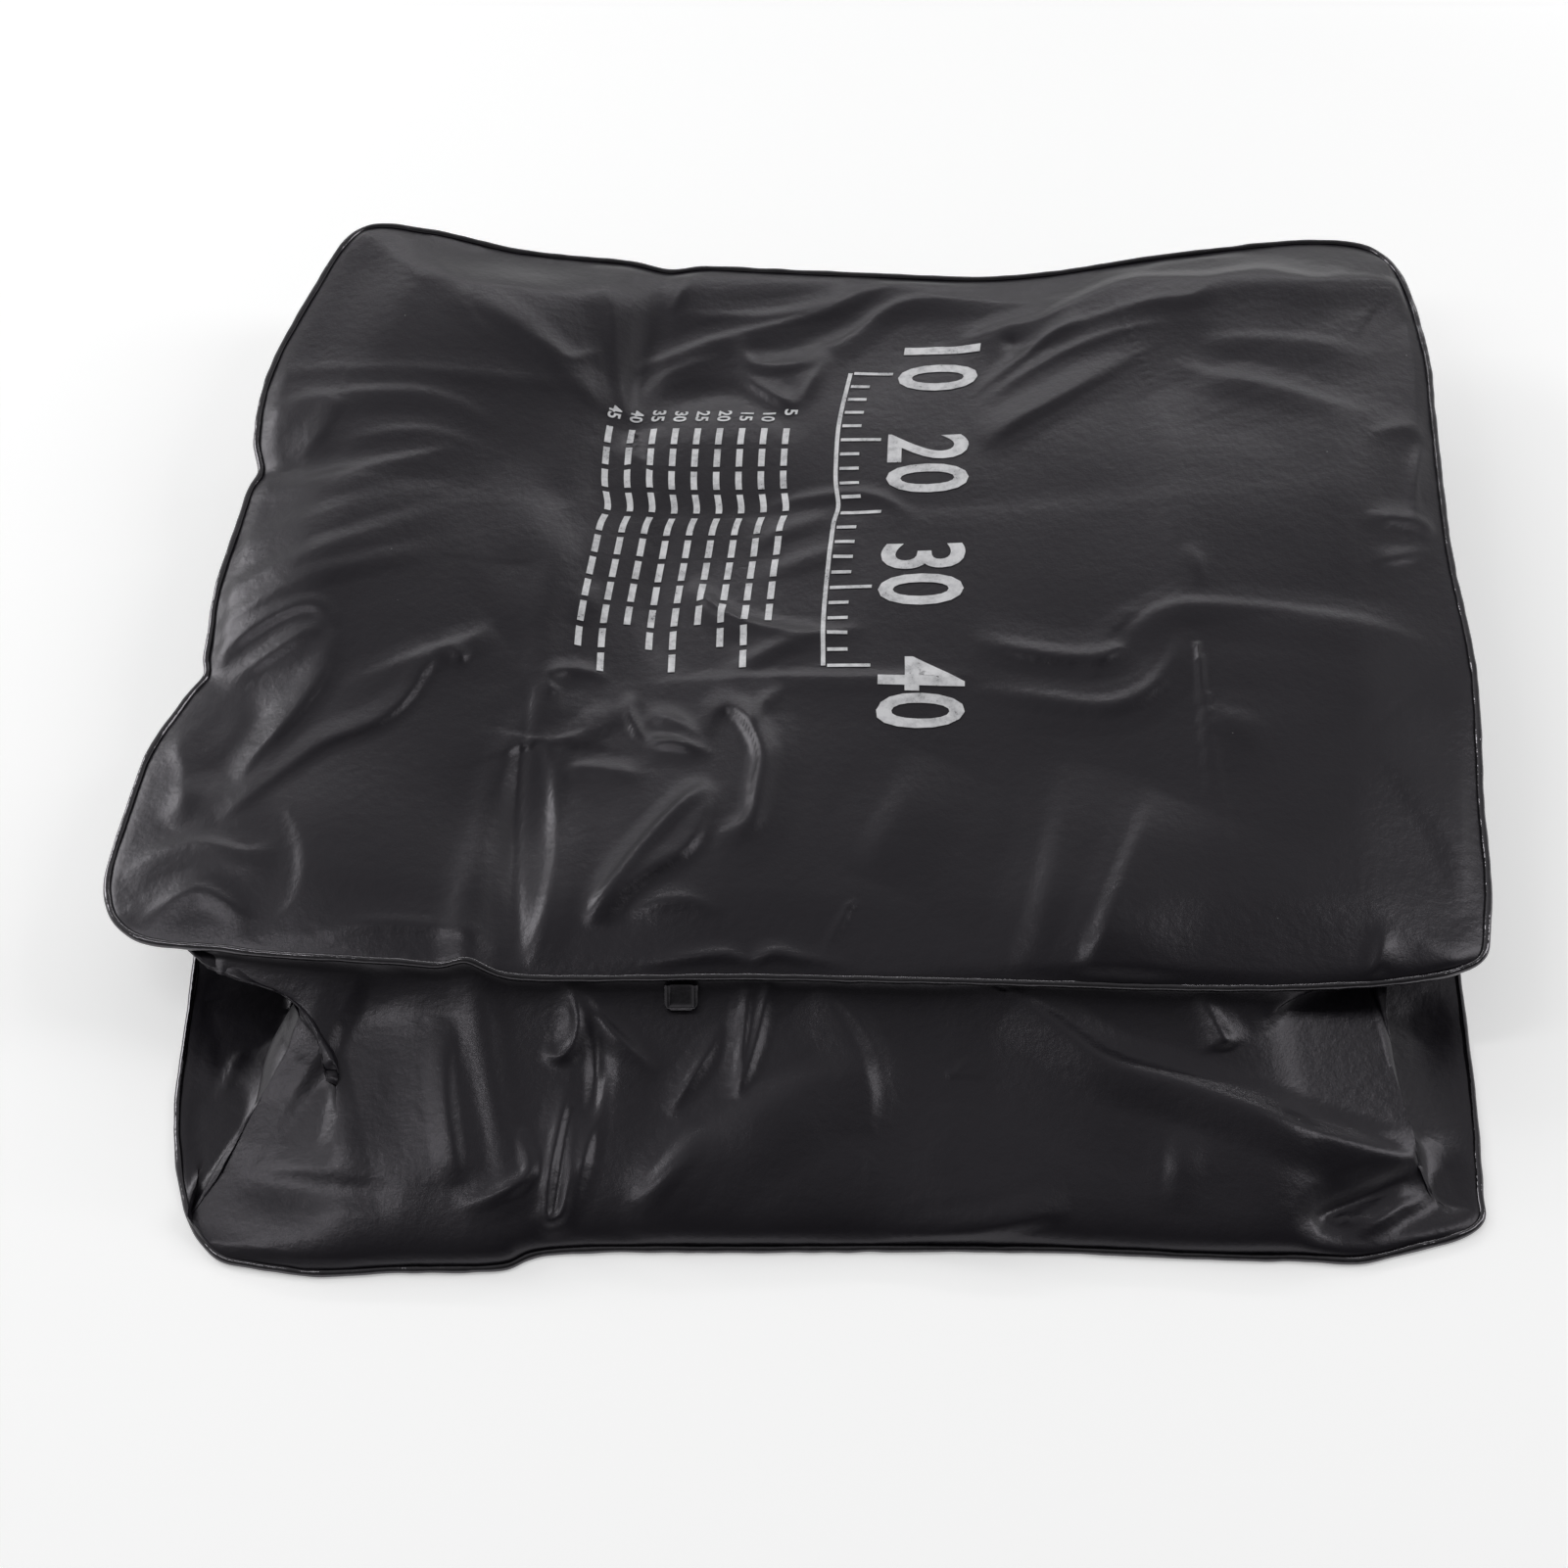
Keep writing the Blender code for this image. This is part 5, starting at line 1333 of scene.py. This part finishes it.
moulded = moulded_finish("moulded_black", MOULD_BLACK, MOULD_ROUGHNESS)
rubber = moulded_finish("gasket_rubber", RUBBER_GREY, RUBBER_ROUGHNESS)
grey = moulded_finish("tap_grey", LEVER_GREY, LEVER_ROUGHNESS)

neck = [
    (NECK_BORE, 0),
    (FLANGE_RADIUS - FLANGE_EDGE, 0),
    (FLANGE_RADIUS, FLANGE_EDGE),
    (FLANGE_RADIUS, FLANGE_BRIM),
    (FLANGE_RADIUS - FLANGE_SLOPE, FLANGE_DEPTH),
    (NECK_RADIUS + NECK_FOOT, FLANGE_DEPTH),
    (NECK_RADIUS, NECK_FOOT_TOP),
]
neck += [(NECK_RADIUS, along) for along in np.arange(*NECK_ROWS)]
neck += [
    (NECK_RADIUS - LIP_OUTSIDE, NECK_LENGTH),
    (NECK_BORE + LIP_INSIDE, NECK_LENGTH),
    (NECK_BORE, NECK_LENGTH - LIP_DROP),
]
filler = turned_piece("threaded_neck", neck, FILLER, steps=120)
for vert in filler.data.vertices:
    along, out = around_filler(vert)
    if out.length > NECK_RADIUS - ON_WALL and NECK_ROWS[0] - ON_WALL < along < NECK_ROWS[1] + ON_WALL:
        turn = math.atan2(out.z, out.y) / math.tau
        from_crest = (along - THREAD_FROM + (turn + 0.5) * THREAD_PITCH) % THREAD_PITCH - THREAD_PITCH / 2
        ends = held((along - THREAD_FROM) / THREAD_RUN_OUT) * held((THREAD_TO - along) / THREAD_RUN_OUT)
        crest = held((THREAD_WIDTH - abs(from_crest)) / THREAD_WIDTH * THREAD_STEEP)
        vert.co += out.normalized() * THREAD_HEIGHT * crest * ends
dress(filler, moulded, "bag", "moulded_black", "filler_neck")

cap = [
    (0, CAP_TO - CAP_TOP),
    (CAP_INSIDE, CAP_TO - CAP_TOP),
    (CAP_INSIDE, CAP_FROM + CAP_EDGE),
    (CAP_INSIDE + CAP_EDGE, CAP_FROM),
    (CAP_RADIUS - CAP_EDGE, CAP_FROM),
    (CAP_RADIUS, CAP_FROM + CAP_EDGE),
]
cap += [(CAP_RADIUS, along) for along in np.arange(*CAP_ROWS)]
shoulder = arc((CAP_RADIUS - CAP_ROUND, CAP_ROUND), CAP_ROUND, 0, -90, 5)
cap += [(radius, CAP_TO - drop) for radius, drop in shoulder]
cap += [
    (FINGER_RADIUS + FINGER_SLOPE, CAP_TO),
    (FINGER_RADIUS, CAP_TO - FINGER_DEPTH),
    (0, CAP_TO - FINGER_DEPTH),
]
lid = turned_piece("ribbed_cap", cap, FILLER, steps=CAP_RIBS * 6)
for vert in lid.data.vertices:
    along, out = around_filler(vert)
    if out.length > CAP_RADIUS - ON_WALL:
        rib = math.sqrt(max(0, math.cos(math.atan2(out.z, out.y) * CAP_RIBS)))
        vert.co += out.normalized() * (rib * RIB_HEIGHT * held((CAP_TO - RIB_END - along) / CAP_ROUND))
dress(lid, moulded, "cap", "moulded_black", "filler_cap")

outside, inside = GASKET_OUTSIDE - GASKET_EDGE, GASKET_INSIDE + GASKET_EDGE
top, low = GASKET_TO - GASKET_EDGE, GASKET_FROM + GASKET_EDGE
ring = []
for k, corner in enumerate(((outside, top), (inside, top), (inside, low), (outside, low))):
    ring += arc(corner, GASKET_EDGE, 90 * k, 90 * (k + 1), 4)
dress(turned_piece("flat_gasket", ring, FILLER), rubber, "cap_seal", "gasket_rubber", "cap_gasket")

# Outlet tap
# The tap's body is one moulding with its flange and its hose barb, and its plug turns in it by a grey
# lever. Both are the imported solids, with the grain of their moulds.
for node, finish in (("outlet_tap_body", moulded), ("tap_plug", grey)):
    mesh = frame["nodes"][node].data
    mesh.materials.clear()
    mesh.materials.append(finish)
